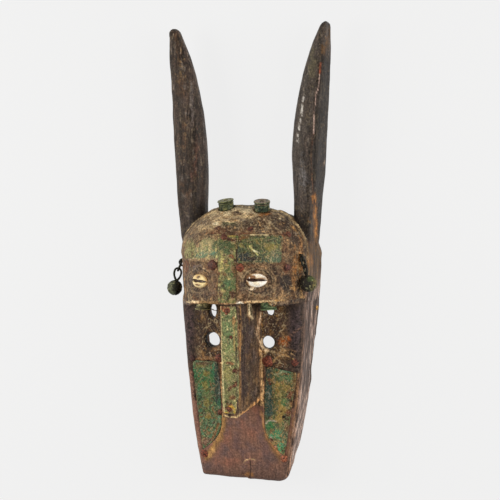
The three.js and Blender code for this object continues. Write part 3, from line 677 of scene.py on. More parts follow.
GOLDEN_EAR = [(187, 146, 8, 24, 0.8), (196, 174, 6, 7, 0.8), (180, 70, 6, 30, 0.5)]
# Path of the painted highlight down the right ear's front face.
EAR_HIGHLIGHT_PATH = [(303.4, 98), (300.6, 118), (298, 132), (297.4, 143)]
DEEP_SHADE = [(303, 227, 7.5, 17, 0.8), (297, 216, 6, 6, 0.5)]
# Where the right ear's side face begins, a column for each of two rows, and the rows where it fades out.
EAR_SIDE_COLUMNS, EAR_SIDE_ROWS, EAR_SIDE_TOP = (312.0, 321), (165, 55), (45, 60)
# The dome as the photograph shows it, the row where its lower part begins, and the wall beside it.
DOME_MIDDLE, DOME_REACH, DOME_LOWER_ROW = (245, 262), (58, 56), 258
DEEP_GOLD_COLUMNS = (297, 302)
HEAD_SIDE_COLUMNS, HEAD_SIDE_TOP = (286, 296), 225
REAR_CROWN_ROW, REAR_CROWN_COLUMN = 219, 296
CHIN_DUST_ROWS, CHIN_DUST_COLUMNS, CHIN_DUST_TOP = (462, 476), (276, 290), 455
# Engraved rings round the shells: middle, reach across and along, and strength.
ENGRAVED_RINGS = [
    (257.7, 281.3, 14, 12.2, 1.0), (257.7, 281.3, 16.4, 14.4, 0.5), (199.8, 280.4, 11.5, 11.5, 0.6),
]

# Marks in the order they are laid, with their places in the photograph. A stain has its tone, how ragged its
# edge is, and its places as (u, v, reach_u, reach_v, strength). Rust has its tone and places. A line has its
# tone, path, width, strength and raggedness.
# Some stain and line rows below are painted shade and painted highlights, as noted at them.
EAR_LEFT_STAINS_AND_SHEEN = [
    ("stain", (92, 62, 38), 1.2, [
        (178, 44, 5, 20, 0.5), (181, 86, 4, 14, 0.5), (185, 136, 5, 16, 0.5), (186, 158, 6, 8, 0.5),
        (184, 190, 6, 9, 0.5),
    ]),
    ("stain", (100, 62, 50), 1.0, [(197, 150, 3, 20, 0.45), (194.5, 172, 4, 8, 0.45)]),
    # Painted sheen: the grey streak down the left ear is a highlight.
    ("stain", (88, 82, 82), 0.9, [(191.5, 110, 2.5, 26, 0.6)]),
]
EAR_LEFT_FOOT_AND_SHADOW = [
    ("stain", (84, 78, 76), 0.6, [(195, 200, 3, 6, 0.6)]),
    # Painted shadow that the dome's edge casts on the left ear's foot.
    ("stain", (36, 31, 30), 0.4, [(199, 214, 12, 16, 0.7)]),
]
EAR_TIP_SHEEN = [
    ("stain", (88, 82, 58), 1.2, [(312, 66, 4, 18, 0.5)]),
]
EAR_RIGHT_MARKS = [
    ("stain", (98, 68, 38), 1.3, [(327, 40, 2, 8, 0.7), (323, 50, 2.5, 6, 0.7), (329.5, 34, 1, 8, 0.7)]),
    ("line", (48, 36, 30), EAR_CRACK, 1.3, 0.7, 0.6),
    ("line", (124, 62, 40), EAR_CRACK[:2], 0.9, 0.9, 0.9),
    ("line", (176, 150, 140), EAR_CRACK[1:7], 0.5, 0.9, 0.5),
    ("line", (104, 72, 56), EAR_CRACK[6:], 0.4, 0.8, 0.9),
]
EAR_RIGHT_FOOT = [
    ("stain", (92, 89, 90), 1.3, [(302, 168, 3, 14, 0.7), (305, 178, 3, 10, 0.7)]),
    ("stain", (38, 32, 30), 0.9, [(309, 172, 3, 20, 0.6)]),
    ("line", (118, 76, 36), EAR_SPLIT, 2.8, 0.95, 0.9),
    ("line", (162, 110, 52), [(314.8, 197), (315.4, 214), (315.8, 240)], 1.0, 0.75, 1.1),
]
EAR_RIGHT_SHADE = [
    ("stain", (34, 29, 28), 0.4, [(296, 216, 5, 16, 0.6)]),
]
WALL_TOP_STAIN = [
    ("stain", (130, 84, 42), 1.2, [(309, 262, 4, 26, 0.3)]),
]
DOME_MARKS = [
    ("stain", (214, 194, 154), 1.2, [(240, 210, 24, 5, 0.75)]),
    ("stain", (70, 84, 46), 1.0, [(231, 224.5, 8, 3, 0.85)]),
    ("stain", (92, 72, 54), 1.0, [(252, 226, 13, 5, 0.8)]),
    ("stain", (110, 88, 64), 1.0, [(262, 232, 14, 3, 0.6)]),
    ("stain", (84, 74, 70), 1.0, [(190, 279, 5, 14, 0.7)]),
    ("stain", (130, 100, 82), 1.0, [(212, 284, 4, 13, 0.45)]),
    ("stain", (150, 112, 70), 1.0, [(296, 262, 5, 12, 0.4)]),
    ("stain", (56, 48, 45), 0.9, [
        (248, 222, 8, 4, 0.95), (286, 222, 7, 6, 0.95), (198, 221, 9, 4, 0.5), (276, 224, 6, 6, 0.5),
        (300, 232, 5, 9, 0.7), (262, 231, 12, 3, 0.5), (190, 236, 4, 9, 0.45), (232, 226, 8, 3, 0.5),
    ]),
    ("rust", (100, 62, 42), [
        (263, 222, 6, 5, 0.6), (216, 233, 8, 6, 0.8), (243, 232, 9, 5, 0.85), (284, 236, 3, 4, 0.9),
        (284.5, 266, 2.5, 5, 0.9), (238, 268, 5, 4, 0.8), (212, 265, 7, 5, 0.85), (226, 230, 8, 3, 0.7),
        (255, 268, 12, 3, 0.45), (190, 262, 4, 4, 0.6), (292, 268, 10, 5, 0.35), (219, 281, 3, 12, 0.4),
    ]),
    ("stain", (166, 102, 50), 0.8, [(265, 213.6, 7.5, 3, 0.9)]),
    ("stain", (140, 108, 68), 0.8, [(252, 215.4, 5, 1.8, 0.6)]),
    ("rust", (124, 76, 48), [(281, 224.5, 2.4, 2.4, 0.8)]),
    ("rust", (112, 68, 44), [(185.6, 267, 2.6, 7, 0.7)]),
    ("stain", (214, 202, 168), 0.6, [(215.6, 223.4, 3.2, 2.2, 0.9)]),
    ("stain", (196, 176, 130), 0.6, [(211, 227, 3, 2, 0.7)]),
    ("stain", (92, 82, 84), 0.6, [(198, 268, 6, 4, 0.7)]),
    ("stain", (78, 66, 62), 0.8, [(203, 292, 13, 6, 0.4)]),
    ("stain", (46, 38, 34), 0.7, [(286, 284, 7, 8, 1.0)]),
    ("stain", (60, 46, 37), 0.9, [
        (280, 226, 12, 6, 0.75), (272, 217, 7, 3, 0.8), (254, 226, 9, 3, 0.6), (292, 240, 5, 8, 0.6),
    ]),
]
DOME_WEAR = [
    ("stain", (230, 212, 184), 0.5, [(253, 288.6, 4.4, 1.8, 0.95)]),
    ("stain", (68, 58, 56), 0.7, [(244, 288, 5, 8, 0.6)]),
    ("stain", (104, 78, 50), 0.5, [(236.6, 213.2, 5.6, 2.8, 0.9)]),
    ("stain", (62, 44, 32), 0.5, [(239.4, 213.6, 2.4, 1.1, 0.7)]),
    ("stain", (72, 60, 55), 0.8, [(268, 292, 14, 5, 0.4)]),
    ("stain", (122, 124, 76), 0.9, [(190, 249, 6, 11, 0.85)]),
    ("stain", (156, 150, 106), 1.2, [(187.5, 250, 2, 8, 0.6)]),
    ("stain", (84, 68, 56), 1.1, [(206, 222, 9, 5, 0.45), (194, 232, 5, 8, 0.45), (214, 216, 9, 2, 0.3)]),
    ("stain", (70, 54, 40), 0.9, [(257, 223, 17, 6.5, 0.75)]),
    ("stain", (68, 54, 40), 0.9, [(238, 227, 17, 6.5, 0.55)]),
]
# Painted shade where the dome's edge overhangs the right ear's foot and the head's side.
SHADE_BESIDE_DOME = [
    ("stain", (31, 23, 17), 0.7, [(304, 228, 6, 12, 0.9), (299, 216, 5, 6, 0.9), (309, 246, 4, 12, 0.7)]),
]
# Painted shadow of the right bell on the wood beside it.
RIGHT_BELL_SHADOW = [
    ("stain", (31, 23, 17), 0.7, [(301, 286, 3, 9, 0.8)]),
]
BROWN_BESIDE_DOME = [
    ("stain", (82, 53, 35), 0.9, [(311, 250, 5, 11, 0.85)]),
]
BROW_CORNER = [
    ("stain", (52, 43, 38), 0.6, [(286.5, 284, 7, 9, 0.95)]),
]
BROW_EDGE_WEAR_AND_HIGHLIGHT = [
    # Pale lines along the brow's worn edge, partly a painted highlight.
    ("line", (232, 208, 166), [(184, 302.6), (192, 301.8), (199, 301.8)], 1.0, 0.9, 0.9),
    ("line", (128, 100, 64), [(200, 302), (217, 302.6)], 1.4, 0.9, 0.9),
    ("line", (226, 196, 148), [(246, 302), (262, 301.6), (275, 301)], 0.8, 0.8, 0.9),
    ("line", (212, 160, 92), [(275, 301), (284, 301.6), (302, 303)], 1.4, 0.8, 0.9),
    # A painted highlight: the white glint at the brow's edge above the nose.
    ("stain", (255, 248, 232), 0.4, [(240.2, 303.4, 4.6, 1.7, 1.0)]),
]
FACE_MARKS_AND_SHADE = [
    ("stain", PLUM, 0.4, [(189, 330, 5, 30, 0.7)]),
    # Painted shade: the dark band at the face's right corner, under the brow.
    ("stain", (60, 49, 51), 0.5, [(295, 330, 7, 27, 0.85)]),
    ("stain", (172, 90, 34), 0.6, [(285, 341, 5.0, 5.0, 1.0)]),
    ("stain", (126, 92, 56), 0.8, [(284, 352, 12, 3, 0.6)]),
    ("line", (116, 84, 66), [(287, 338), (295, 332), (302, 327)], 0.8, 0.6, 1.0),
    ("line", (146, 106, 66), [(193, 360), (206, 358.5), (217, 357)], 1.9, 0.8, 1.0),
    ("line", (168, 132, 86), [(273, 361.5), (279, 356), (286, 355), (295, 360)], 1.1, 0.9, 0.9),
    ("line", (206, 180, 136), [(266, 352), (270, 351), (275, 353)], 1.1, 0.8, 0.9),
    ("line", (186, 152, 106), [(277, 354), (283, 351), (290, 352), (294, 356)], 0.8, 0.8, 1.0),
    ("stain", (108, 82, 54), 0.8, [(285, 360, 8, 3, 0.7)]),
    ("line", (58, 44, 36), [(274, 364), (281, 361), (289, 361)], 1.0, 0.8, 0.5),
    ("stain", (150, 108, 66), 0.9, [(215, 349, 6, 4, 0.6)]),
]
NOSE_ROOT_LIGHT = [
    ("stain", (150, 112, 68), 0.9, [(255, 320, 3, 6, 0.5)]),
]
# Painted shade in the recess under the brow beside the top of the nose.
SHADE_UNDER_BROW_RIGHT = [
    ("stain", (58, 41, 26), 0.4, [(256.2, 308.6, 5, 4.6, 0.95)]),
]
# Painted shadow under the brow and the left cartridge, beside the upper left hole.
SHADE_UNDER_BROW_LEFT = [
    ("stain", (44, 36, 32), 0.4, [(205, 306, 9, 3, 0.6)]),
]
NOSE_MARKS_AND_HIGHLIGHTS = [
    ("stain", (50, 40, 41), 1.0, [(246, 334, 6, 24, 0.6)]),
    ("stain", (54, 43, 44), 1.0, [(243, 372, 4, 36, 0.55)]),
    # Painted highlights: pale lilac glints on the nose's right side.
    ("stain", (106, 94, 92), 1.2, [
        (253.5, 356, 2.4, 8, 0.5), (251, 334, 2, 9, 0.5), (255, 392, 2, 8, 0.5),
    ]),
    ("line", (106, 72, 42), [(247, 303), (248.5, 318)], 1.4, 0.8, 0.5),
]
# A painted highlight on the pale ridge at the top of the nose, under the brow.
NOSE_ROOT_HIGHLIGHT = [
    ("line", (255, 232, 184), [(249.2, 304), (250.4, 309), (250.0, 315)], 1.9, 1.0, 0.3),
]
NOSE_EDGE = [
    ("line", (190, 140, 78), [(239.8, 304), (240, 340), (240, 372), (240, 408)], 0.8, 0.7, 1.1),
]
NOSE_FOOT = [
    ("line", (196, 144, 92), [(240, 415), (246, 412), (252, 406), (259, 400)], 1.4, 0.95, 1.0),
    ("line", (214, 184, 136), [(224.4, 415.4), (230, 417.6), (236, 417.6), (240, 415)], 1.0, 0.9, 0.6),
]
NOSE_SOOT = [
    ("stain", SOOT, 0.5, [(240, 408, 3, 5, 0.4)]),
]
LIP_TOP = [(260.8, 313), (260, 321), (257.4, 330), (258, 336), (259.6, 342)]
LIP_SIDE = [(260.2, 350), (262, 358), (261.4, 372), (262.6, 390), (262, 404), (263.4, 426)]
LIP_LEFT = [(221.5, 356), (222.3, 380), (223, 412)]
FACE_LIPS = [
    ("line", (122, 90, 62), LIP_TOP, 2.2, 0.8, 1.2),
    ("line", (206, 178, 146), LIP_TOP, 0.7, 0.85, 1.9),
    ("line", (150, 108, 66), LIP_SIDE, 2.4, 0.8, 1.0),
    ("line", (212, 172, 122), LIP_SIDE, 1.1, 0.85, 1.3),
    # Along the left lip the pale line is partly a painted highlight on the nose's left edge.
    ("line", (150, 108, 66), LIP_LEFT, 2.4, 0.8, 1.0),
    ("line", (212, 172, 122), LIP_LEFT, 1.1, 0.85, 1.3),
]
CREAM_LIP = [
    ("line", (220, 190, 150), [(261.8, 340), (261.6, 345), (264, 349), (268, 350)], 2.0, 0.9, 0.6),
]
CHIN_MARKS = [
    ("stain", (84, 70, 70), 0.7, [
        (229, 423, 5, 3, 0.6), (237, 421, 4, 2, 0.6), (271, 458, 9, 5, 0.6), (226, 450, 3, 6, 0.6),
        (206, 466, 6, 4, 0.6),
    ]),
    ("stain", (144, 92, 72), 0.8, [
        (251, 433, 5, 10, 0.45), (256, 410, 5, 6, 0.45), (232, 462, 8, 5, 0.45), (227, 438, 5, 8, 0.45),
        (242, 424, 3, 5, 0.45),
    ]),
    ("stain", (92, 72, 72), 1.0, [
        (236, 440, 4, 12, 0.45), (260, 466, 9, 5, 0.45), (214, 468, 7, 4, 0.45), (264, 448, 5, 7, 0.45),
        (244, 452, 6, 4, 0.45),
    ]),
    (
        "line", (138, 104, 64), [(224.6, 413), (223, 424), (220, 437), (214, 448), (207, 457)],
        3.6, 0.85, 1.0,
    ),
    ("line", (176, 134, 80), [(223.6, 414), (222, 426), (218, 438), (211, 449)], 1.6, 0.7, 1.4),
    ("line", (206, 160, 98), [(214, 449), (209, 456)], 1.4, 0.9, 0.8),
    ("line", (116, 86, 50), [(265.5, 432), (269, 441), (275, 450), (279, 458)], 3.0, 0.6, 1.2),
    ("line", (166, 116, 70), [(263.5, 424), (266, 434), (272, 444), (278, 453), (279, 462)], 1.4, 0.8, 1.0),
    ("line", (190, 140, 92), [(262, 412), (263.5, 426)], 1.2, 0.8, 0.9),
]
RUSTY_EDGE = [(298.5, 375), (298, 390), (296.5, 410), (292.5, 436), (288.5, 456)]
FACE_EDGE_WEAR = [
    ("line", (100, 70, 50), RUSTY_EDGE, 3.0, 0.75, 1.2),
    ("line", (146, 108, 72), RUSTY_EDGE, 1.4, 0.6, 2.2),
    ("line", (134, 96, 80), [(190.5, 372), (194.5, 410), (198.5, 440), (201.5, 455)], 2.0, 0.75, 0.8),
]
CHIN_CHIP = [
    ("stain", (186, 122, 52), 0.7, [(248, 474.5, 6, 2.4, 0.95)]),
]
CHIN_CRACKS = [
    ("line", (206, 172, 124), CHIN_ARC, 0.55, 0.75, 0.9),
    ("line", (160, 120, 88), CHIN_LINE, 0.5, 0.5, 1.2),
    ("line", (60, 46, 42), CHIN_CRACK, 0.7, 0.9, 0.2),
]
WALL_TOP_GOLD = [
    ("stain", (126, 84, 44), 1.3, [(310.5, 262, 3, 6, 0.55)]),
]


def paint_wood(points, field, parts):
    normal, crisp = surface_facts(field, points)
    x, y, z = points.T
    part = {name: field_at(np.clip(grid, -60, 60), points) for name, grid in parts.items()}
    inside = smooth(part["hollow"], 4.0, 1.5)
    in_ear = (part["ears"] < np.minimum(part["head"], part["muzzle"]) - 0.3).astype(float)
    ear_paint = in_ear * smooth(y + 9 * noise(points, 9, 41, 3), 62, 88)
    on_head = (part["head"] < part["muzzle"] + 1) * (1 - in_ear) * (y > brow_y(x) - 4)
    on_dome = on_head * smooth(z, 53, 58)
    on_nose = (part["nose"] < np.minimum(part["muzzle"], part["head"]) - 0.4) * (1 - inside)
    on_wall = smooth(np.abs(normal[:, 0]), 0.55, 0.85) * (z < 60) * (1 - ear_paint) * (1 - inside)
    on_face = (y < brow_y(x) + 1) * (1 - on_nose) * (1 - on_wall) * (1 - inside)
    coat = Coat(points, normal, WALNUT, 100)
    grain = coat.noise((3.2, 60, 3.2), 3)
    # The noises after this one keep their seeds.
    coat.seed += 3
    coat.lay(UMBER, 0.5 + 0.9 * grain)
    coat.lay(SOOT, 0.35 + 0.8 * coat.noise((12, 30, 12)))

    # Ears.
    coat.lay((60, 48, 42), ear_paint * 0.9)
    coat.veil((84, 68, 58), ear_paint, (3, 40, 3), 0.0, 0.5, 0.6)
    coat.veil((42, 34, 30), ear_paint, (4, 50, 6), 0.05, 0.45, 0.7)
    left, right = ear_paint * (x < 0), ear_paint * (x > 0)
    coat.marks(EAR_LEFT_STAINS_AND_SHEEN, left)
    coat.veil((112, 104, 98), ear_paint, (2.2, 12, 2.5), 0.2, 0.45, 0.8)
    coat.veil((30, 24, 21), ear_paint, (2.2, 9, 2.5), 0.08, 0.4, 0.85)
    coat.veil((112, 88, 58), left * sum(coat.spots(GOLDEN_EAR)), (2.4, 3.4, 2.4), 0.2, 0.42, 0.8, 2)
    coat.marks(EAR_LEFT_FOOT_AND_SHADOW, left)
    coat.veil((38, 29, 24), ear_paint, (7, 30, 9), -0.05, 0.4, 0.75)
    side_face = right * smooth(coat.u - mix(*EAR_SIDE_COLUMNS, share(coat.v, *EAR_SIDE_ROWS)), -0.5, 0.5)
    side_face *= smooth(coat.v, *EAR_SIDE_TOP) * coat.facing
    coat.lay((60, 54, 50), right * (1 - side_face) * (0.7 + 0.5 * coat.broad))
    ear_grain = right * smooth(coat.noise((2, 10, 3), 3), 0.25, 0.55)
    coat.lay((122, 112, 100), ear_grain * smooth(coat.broad, -0.2, 0.3) * 0.7)
    coat.marks(EAR_TIP_SHEEN, right * (1 - side_face))
    coat.lay((37, 33, 31), side_face * 0.9)
    coat.scratches((78, 70, 64), side_face, (2, 16, 2), 0.5)
    coat.marks(EAR_RIGHT_MARKS, right)
    # A painted highlight: the white streak of light down the right ear's front face.
    painted_highlight = along_path(coat.u, coat.v, EAR_HIGHLIGHT_PATH, 1.1)
    coat.veil((200, 196, 190), right * coat.facing * painted_highlight, (2, 3, 2), -0.15, 0.1, 1.0, 2)
    coat.marks(EAR_RIGHT_FOOT, right)
    coat.veil((58, 36, 22), right * along_path(coat.u, coat.v, EAR_SPLIT, 3), (2.5, 4, 2.5), 0.1, 0.4, 1.0, 2)
    coat.marks(EAR_RIGHT_SHADE, right)
    coat.marks(WALL_TOP_STAIN, 1 - in_ear)

    # Forehead.
    crust = on_dome * smooth(y + 10 * coat.broad, 60, 96)
    turn = np.stack([np.hypot(x, y - 20), np.arctan2(x, y - 20) * 60, 0 * x], -1)
    coat.lay((126, 98, 66), on_dome * (0.6 + 0.4 * coat.noise(6, 3)))
    coat.veil((84, 58, 40), on_dome * (1 - crust), (9, 7, 9), -0.1, 0.3, 0.8)
    top_crust = on_dome * smooth(y + 7 * coat.broad, 84, 100)
    coat.veil((66, 50, 38), on_dome * smooth(y, 78, 86) * (1 - top_crust), (12, 9, 9), -0.25, 0.15, 0.75)
    coat.veil((176, 146, 100), crust * (1 - top_crust), 5, -0.1, 0.4, 0.75)
    coat.lay((208, 186, 146), top_crust * (0.9 + 0.6 * coat.noise(5, 3)))
    coat.veil((204, 176, 128), crust, (4, 22, 4), 0.14, 0.45, 0.75, 3, turn)
    coat.veil((70, 52, 38), on_dome, (5, 26, 4), 0.08, 0.4, 0.8, 3, turn)
    coat.veil((168, 134, 92), on_dome, (3.4, 16, 4), 0.2, 0.5, 0.7, 3, turn)
    off_u, off_v = (coat.u - DOME_MIDDLE[0]) / DOME_REACH[0], (coat.v - DOME_MIDDLE[1]) / DOME_REACH[1]
    rim = on_dome * (0.35 + 0.65 * smooth(np.hypot(off_u, off_v), 0.85, 1.0))
    coat.veil((164, 146, 112), rim, (2.6, 40, 3), 0.12, 0.35, 0.7, 2, turn)
    coat.veil((58, 46, 38), rim, (2.6, 40, 3), 0.05, 0.3, 0.8, 2, turn)
    coat.marks(DOME_MARKS, on_dome)
    for u, v, reach_u, reach_v, strength in ENGRAVED_RINGS:
        away = np.hypot((coat.u - u) / reach_u, (coat.v - v) / reach_v)
        broken = on_dome * coat.facing * strength * smooth(coat.rough_edge + 0.6, 0, 0.5)
        coat.lay((38, 28, 23), broken * np.exp(-(((away - 0.97) / 0.06) ** 2)), 0.8)
        coat.lay((196, 168, 126), broken * np.exp(-(((away - 1.07) / 0.045) ** 2)) * 0.9, 0.6)
    coat.marks(DOME_WEAR, on_dome)
    lower = on_dome * (coat.v > DOME_LOWER_ROW)
    coat.veil((132, 102, 76), lower, (5, 5, 5), 0.12, 0.5, 0.7)
    # Painted shade beside the dome, under its overhanging edge.
    coat.marks(SHADE_BESIDE_DOME, 1 - on_dome)
    # The right bell's painted shadow.
    coat.marks(RIGHT_BELL_SHADOW)
    deep = np.maximum(*coat.spots(DEEP_SHADE)) * (1 - on_dome)
    coat.lay((29, 22, 17), deep * 0.95, 0.9)
    coat.veil((112, 78, 36), deep * smooth(coat.u, *DEEP_GOLD_COLUMNS), (2.6, 5, 2.6), 0.25, 0.45, 0.8, 2)
    coat.marks(BROWN_BESIDE_DOME, 1 - on_dome)
    right_side = on_head * smooth(coat.u, *HEAD_SIDE_COLUMNS) * (coat.v > HEAD_SIDE_TOP)
    coat.veil((146, 96, 48), right_side, (4, 26, 5), -0.1, 0.3, 0.85)
    coat.veil((58, 44, 38), right_side, (3.4, 30, 4), 0.1, 0.4, 0.9)
    coat.veil((60, 44, 32), right_side, (4, 7, 4), 0.05, 0.3, 0.8)
    coat.veil((176, 138, 86), right_side, (3, 6, 3), 0.25, 0.45, 0.7, 2)
    coat.marks(BROW_CORNER, on_dome)
    ring = on_head * (y > 6) * coat.facing
    coat.lay((192, 168, 126), ring * np.exp(-(((z - 56) / 1.4) ** 2)) * (0.9 + 0.9 * coat.rough_edge))
    coat.lay((46, 39, 36), ring * np.exp(-(((z - 61) / 2.2) ** 2)) * smooth(coat.broad, -0.4, 0.1) * 0.7)

    coat.colour *= 1 - 0.06 * on_dome[:, None]

    # Lower edge of the brow: pale worn wood, partly a painted highlight along its lit edge.
    brow = np.exp(-(((y - worn_brow_y(x) - 1.2) / 2.0) ** 2)) * smooth(z, 62, 70) * on_head * (1 - inside)
    coat.lay((160, 118, 78), brow * (0.8 + 0.6 * coat.broad))
    coat.lay(CREAM, brow * smooth(coat.rough_edge + coat.broad, -0.1, 0.4) * 0.8)
    coat.marks(BROW_EDGE_WEAR_AND_HIGHLIGHT, on_head)

    # Face beside the nose.
    upper = on_face * (y > -88)
    coat.lay((66, 51, 43), upper * 0.7)
    golden = upper * smooth(np.abs(x), 24, 30) * (1 - smooth(np.abs(x), 56, 68)) * (1 - inside)
    coat.veil((112, 80, 50), golden, (4, 7, 4), -0.1, 0.4, 0.7)
    coat.veil((46, 36, 30), upper, (5, 9, 5), 0.1, 0.45, 0.8)
    coat.veil((158, 120, 72), golden, (2.6, 5, 2.6), 0.25, 0.5, 0.7, 2)
    coat.marks(FACE_MARKS_AND_SHADE, on_face)
    coat.marks(NOSE_ROOT_LIGHT, (1 - inside) * (z > 60))
    # Painted shade under the brow.
    coat.marks(SHADE_UNDER_BROW_RIGHT, (1 - inside) * (y < brow_y(x)))
    coat.marks(SHADE_UNDER_BROW_LEFT, (y < brow_y(x)) * (1 - inside))

    # Painted shade on the walls inside the eye holes.
    for hole_x, hole_y, front, back, aside in EYE_HOLES:
        hole_wall_shade = smooth(front + 1.2 - np.hypot(x - hole_x, y - hole_y), 0, 1)
        hole_wall_shade = hole_wall_shade * (z < face_z(y) - 1.2) * (z > 45)
        coat.lay((27, 22, 20), hole_wall_shade * 0.95, 0.9)

    # The nose.
    coat.lay((82, 62, 46), on_nose * (0.7 + 0.6 * grain))
    coat.veil((58, 44, 36), on_nose, (5, 40, 5), 0.0, 0.35, 0.85)
    coat.veil((128, 98, 64), on_nose, (3.4, 26, 3.4), 0.12, 0.45, 0.7)
    coat.veil((56, 46, 42), on_nose, (9, 16, 9), 0.0, 0.3, 0.7)
    coat.veil((116, 86, 58), on_nose, (6, 12, 6), 0.18, 0.5, 0.5)
    coat.marks(NOSE_MARKS_AND_HIGHLIGHTS, on_nose)
    coat.marks(NOSE_ROOT_HIGHLIGHT, (1 - inside) * (y < brow_y(x)))
    coat.marks(NOSE_EDGE, on_nose)
    coat.marks(NOSE_FOOT, 1 - inside)
    coat.marks(NOSE_SOOT, on_nose)

    # Cream lips along the sheets and worn wood round them.
    coat.marks(FACE_LIPS, 1 - inside)
    coat.marks(CREAM_LIP)
    chin = on_face * (y < -140)
    coat.lay((125, 91, 77), chin * 0.85)
    coat.veil((142, 98, 82), chin, (5, 22, 5), 0.05, 0.4, 0.6)
    coat.veil((98, 72, 68), chin, (5, 24, 5), 0.05, 0.4, 0.6)
    coat.veil((98, 78, 76), chin, (8, 10, 8), 0.1, 0.45, 0.65)
    coat.marks(CHIN_MARKS, chin)
    coat.marks(FACE_EDGE_WEAR, on_face + on_wall)
    coat.marks(CHIN_CHIP, 1 - inside)
    coat.marks(CHIN_CRACKS, chin)

    # Side walls. The pale streaks and the paler lower wall are partly grain and partly painted light from the
    # side.
    wall = on_wall * (1 - smooth(y + 10 * coat.broad, 8, 44))
    coat.lay((122, 101, 91), wall * 0.9)
    # Partly painted light: the lower wall is laid paler.
    coat.lay((152, 128, 116), wall * smooth(-y, 90, 150) * 0.8)
    streak = coat.noise((4.2, 120, 4.2), 3)
    low_wall = smooth(-y, 90, 150)
    coat.lay((62, 47, 39), wall * smooth(streak, 0.0, 0.3) * (0.9 - 0.4 * low_wall))
    pale_grain_and_highlight = wall * smooth(-streak, 0.0, 0.4) * (0.75 - 0.2 * low_wall)
    coat.lay((206, 182, 166), pale_grain_and_highlight * (0.3 + 0.7 * share(y, -30, -100)))
    fine_streak = coat.noise((2.6, 80, 2.6), 2)
    coat.lay((50, 38, 33), wall * smooth(fine_streak, 0.05, 0.3) * (0.85 - 0.4 * low_wall))
    # Fine pale streaks, partly painted highlights along the grooves.
    coat.lay((212, 190, 176), wall * smooth(-fine_streak, 0.18, 0.42) * 0.45)
    coat.lay((128, 88, 66), wall * smooth(-y, 205, 235) * 0.7)
    coat.lay((110, 78, 58), wall * smooth(z, 48, 58) * 0.6)
    rear_wall = on_wall * smooth(y + 10 * coat.broad, 8, 44)
    coat.lay((84, 63, 40), rear_wall * 0.85)
    coat.lay((62, 48, 38), rear_wall * smooth(streak, 0.05, 0.4) * 0.7)
    coat.marks(WALL_TOP_GOLD, rear_wall)
    rear_crown = (1 - ear_paint) * (1 - on_dome) * (coat.v < REAR_CROWN_ROW) * (y > 70)
    rear_crown = rear_crown * smooth(REAR_CROWN_COLUMN - coat.u, 0, 3)
    coat.lay((112, 96, 68), rear_crown * (0.8 + 0.4 * coat.rough_edge) * (1 - inside), 0.5)
    dust = on_face * smooth(coat.v + 4 * coat.broad, *CHIN_DUST_ROWS)
    coat.lay((92, 70, 60), dust * 0.6)
    dust = on_face * smooth(coat.u + 3 * coat.broad, *CHIN_DUST_COLUMNS)
    coat.lay((92, 70, 60), dust * (coat.v > CHIN_DUST_TOP) * 0.6)

    # Worn edges, painted shade in the hollows, and the bare inside.
    edge = smooth(crisp, 0.12, 0.4) * (1 - inside) * (1 - in_ear)
    coat.lay((168, 116, 72), edge * smooth(coat.broad + coat.rough_edge, -0.1, 0.4) * 0.55)
    # Painted shade: the surface is laid darker in its hollows.
    coat.lay((36, 29, 27), smooth(-crisp, 0.07, 0.3) * 0.6)
    coat.lay((104, 76, 52), inside * 0.8)
    coat.veil((74, 54, 40), inside, (4, 40, 6), 0.0, 0.5)
    coat.veil((140, 108, 76), inside, (9, 18, 9), 0.15, 0.6, 0.6)
    shine = ear_paint * 0.8 + on_dome * 0.25 + on_nose * 0.35 + on_face * 0.45 + on_wall * 0.5
    flow = ear_paint * (0.75 - 0.2 * (x > 0)) + on_wall + on_nose * 0.6
    flow = flow + chin * 0.75 + upper * 0.3 + inside * 0.6 - chin * 0.35
    coat.fleck((36, 28, 23), ear_paint, 0.36)
    coat.fleck((128, 112, 96), ear_paint * smooth(coat.noise((8, 20, 8), 2), 0.1, 0.3), 0.24)
    coat.fleck((56, 38, 27), on_dome * (1 - crust), 0.28)
    coat.fleck((104, 78, 50), crust, 0.26)
    coat.fleck((176, 140, 96), on_dome * smooth(coat.noise(11, 2), 0.05, 0.3), 0.3)
    coat.fleck((150, 112, 66), upper * smooth(42 - np.abs(np.abs(x) - 40), 0, 20), 0.3)
    coat.fleck((34, 27, 24), upper * smooth(np.abs(x), 56, 66), 0.36)
    coat.fleck((88, 60, 50), chin, 0.26)
    coat.fleck((64, 48, 40), wall, 0.36)
    coat.fleck((44, 32, 25), on_nose, 0.34)
    coat.calm = chin * 0.45
    coat.hair = golden * 0.85 + on_dome * 0.35 + ear_paint * 0.1 + on_nose * 0.2 + crust * 0.15
    return coat, np.clip(shine * (1 - inside), 0, 1), edge, np.clip(flow, 0, 1)


wood_coat, shine, wear, flow = paint_wood(points, wood_field, wood_parts)
wood_coat.put_on(wood_piece)
set_attribute(wood_piece, "shine", shine)
set_attribute(wood_piece, "wear", wear)
set_attribute(wood_piece, "flow", flow)


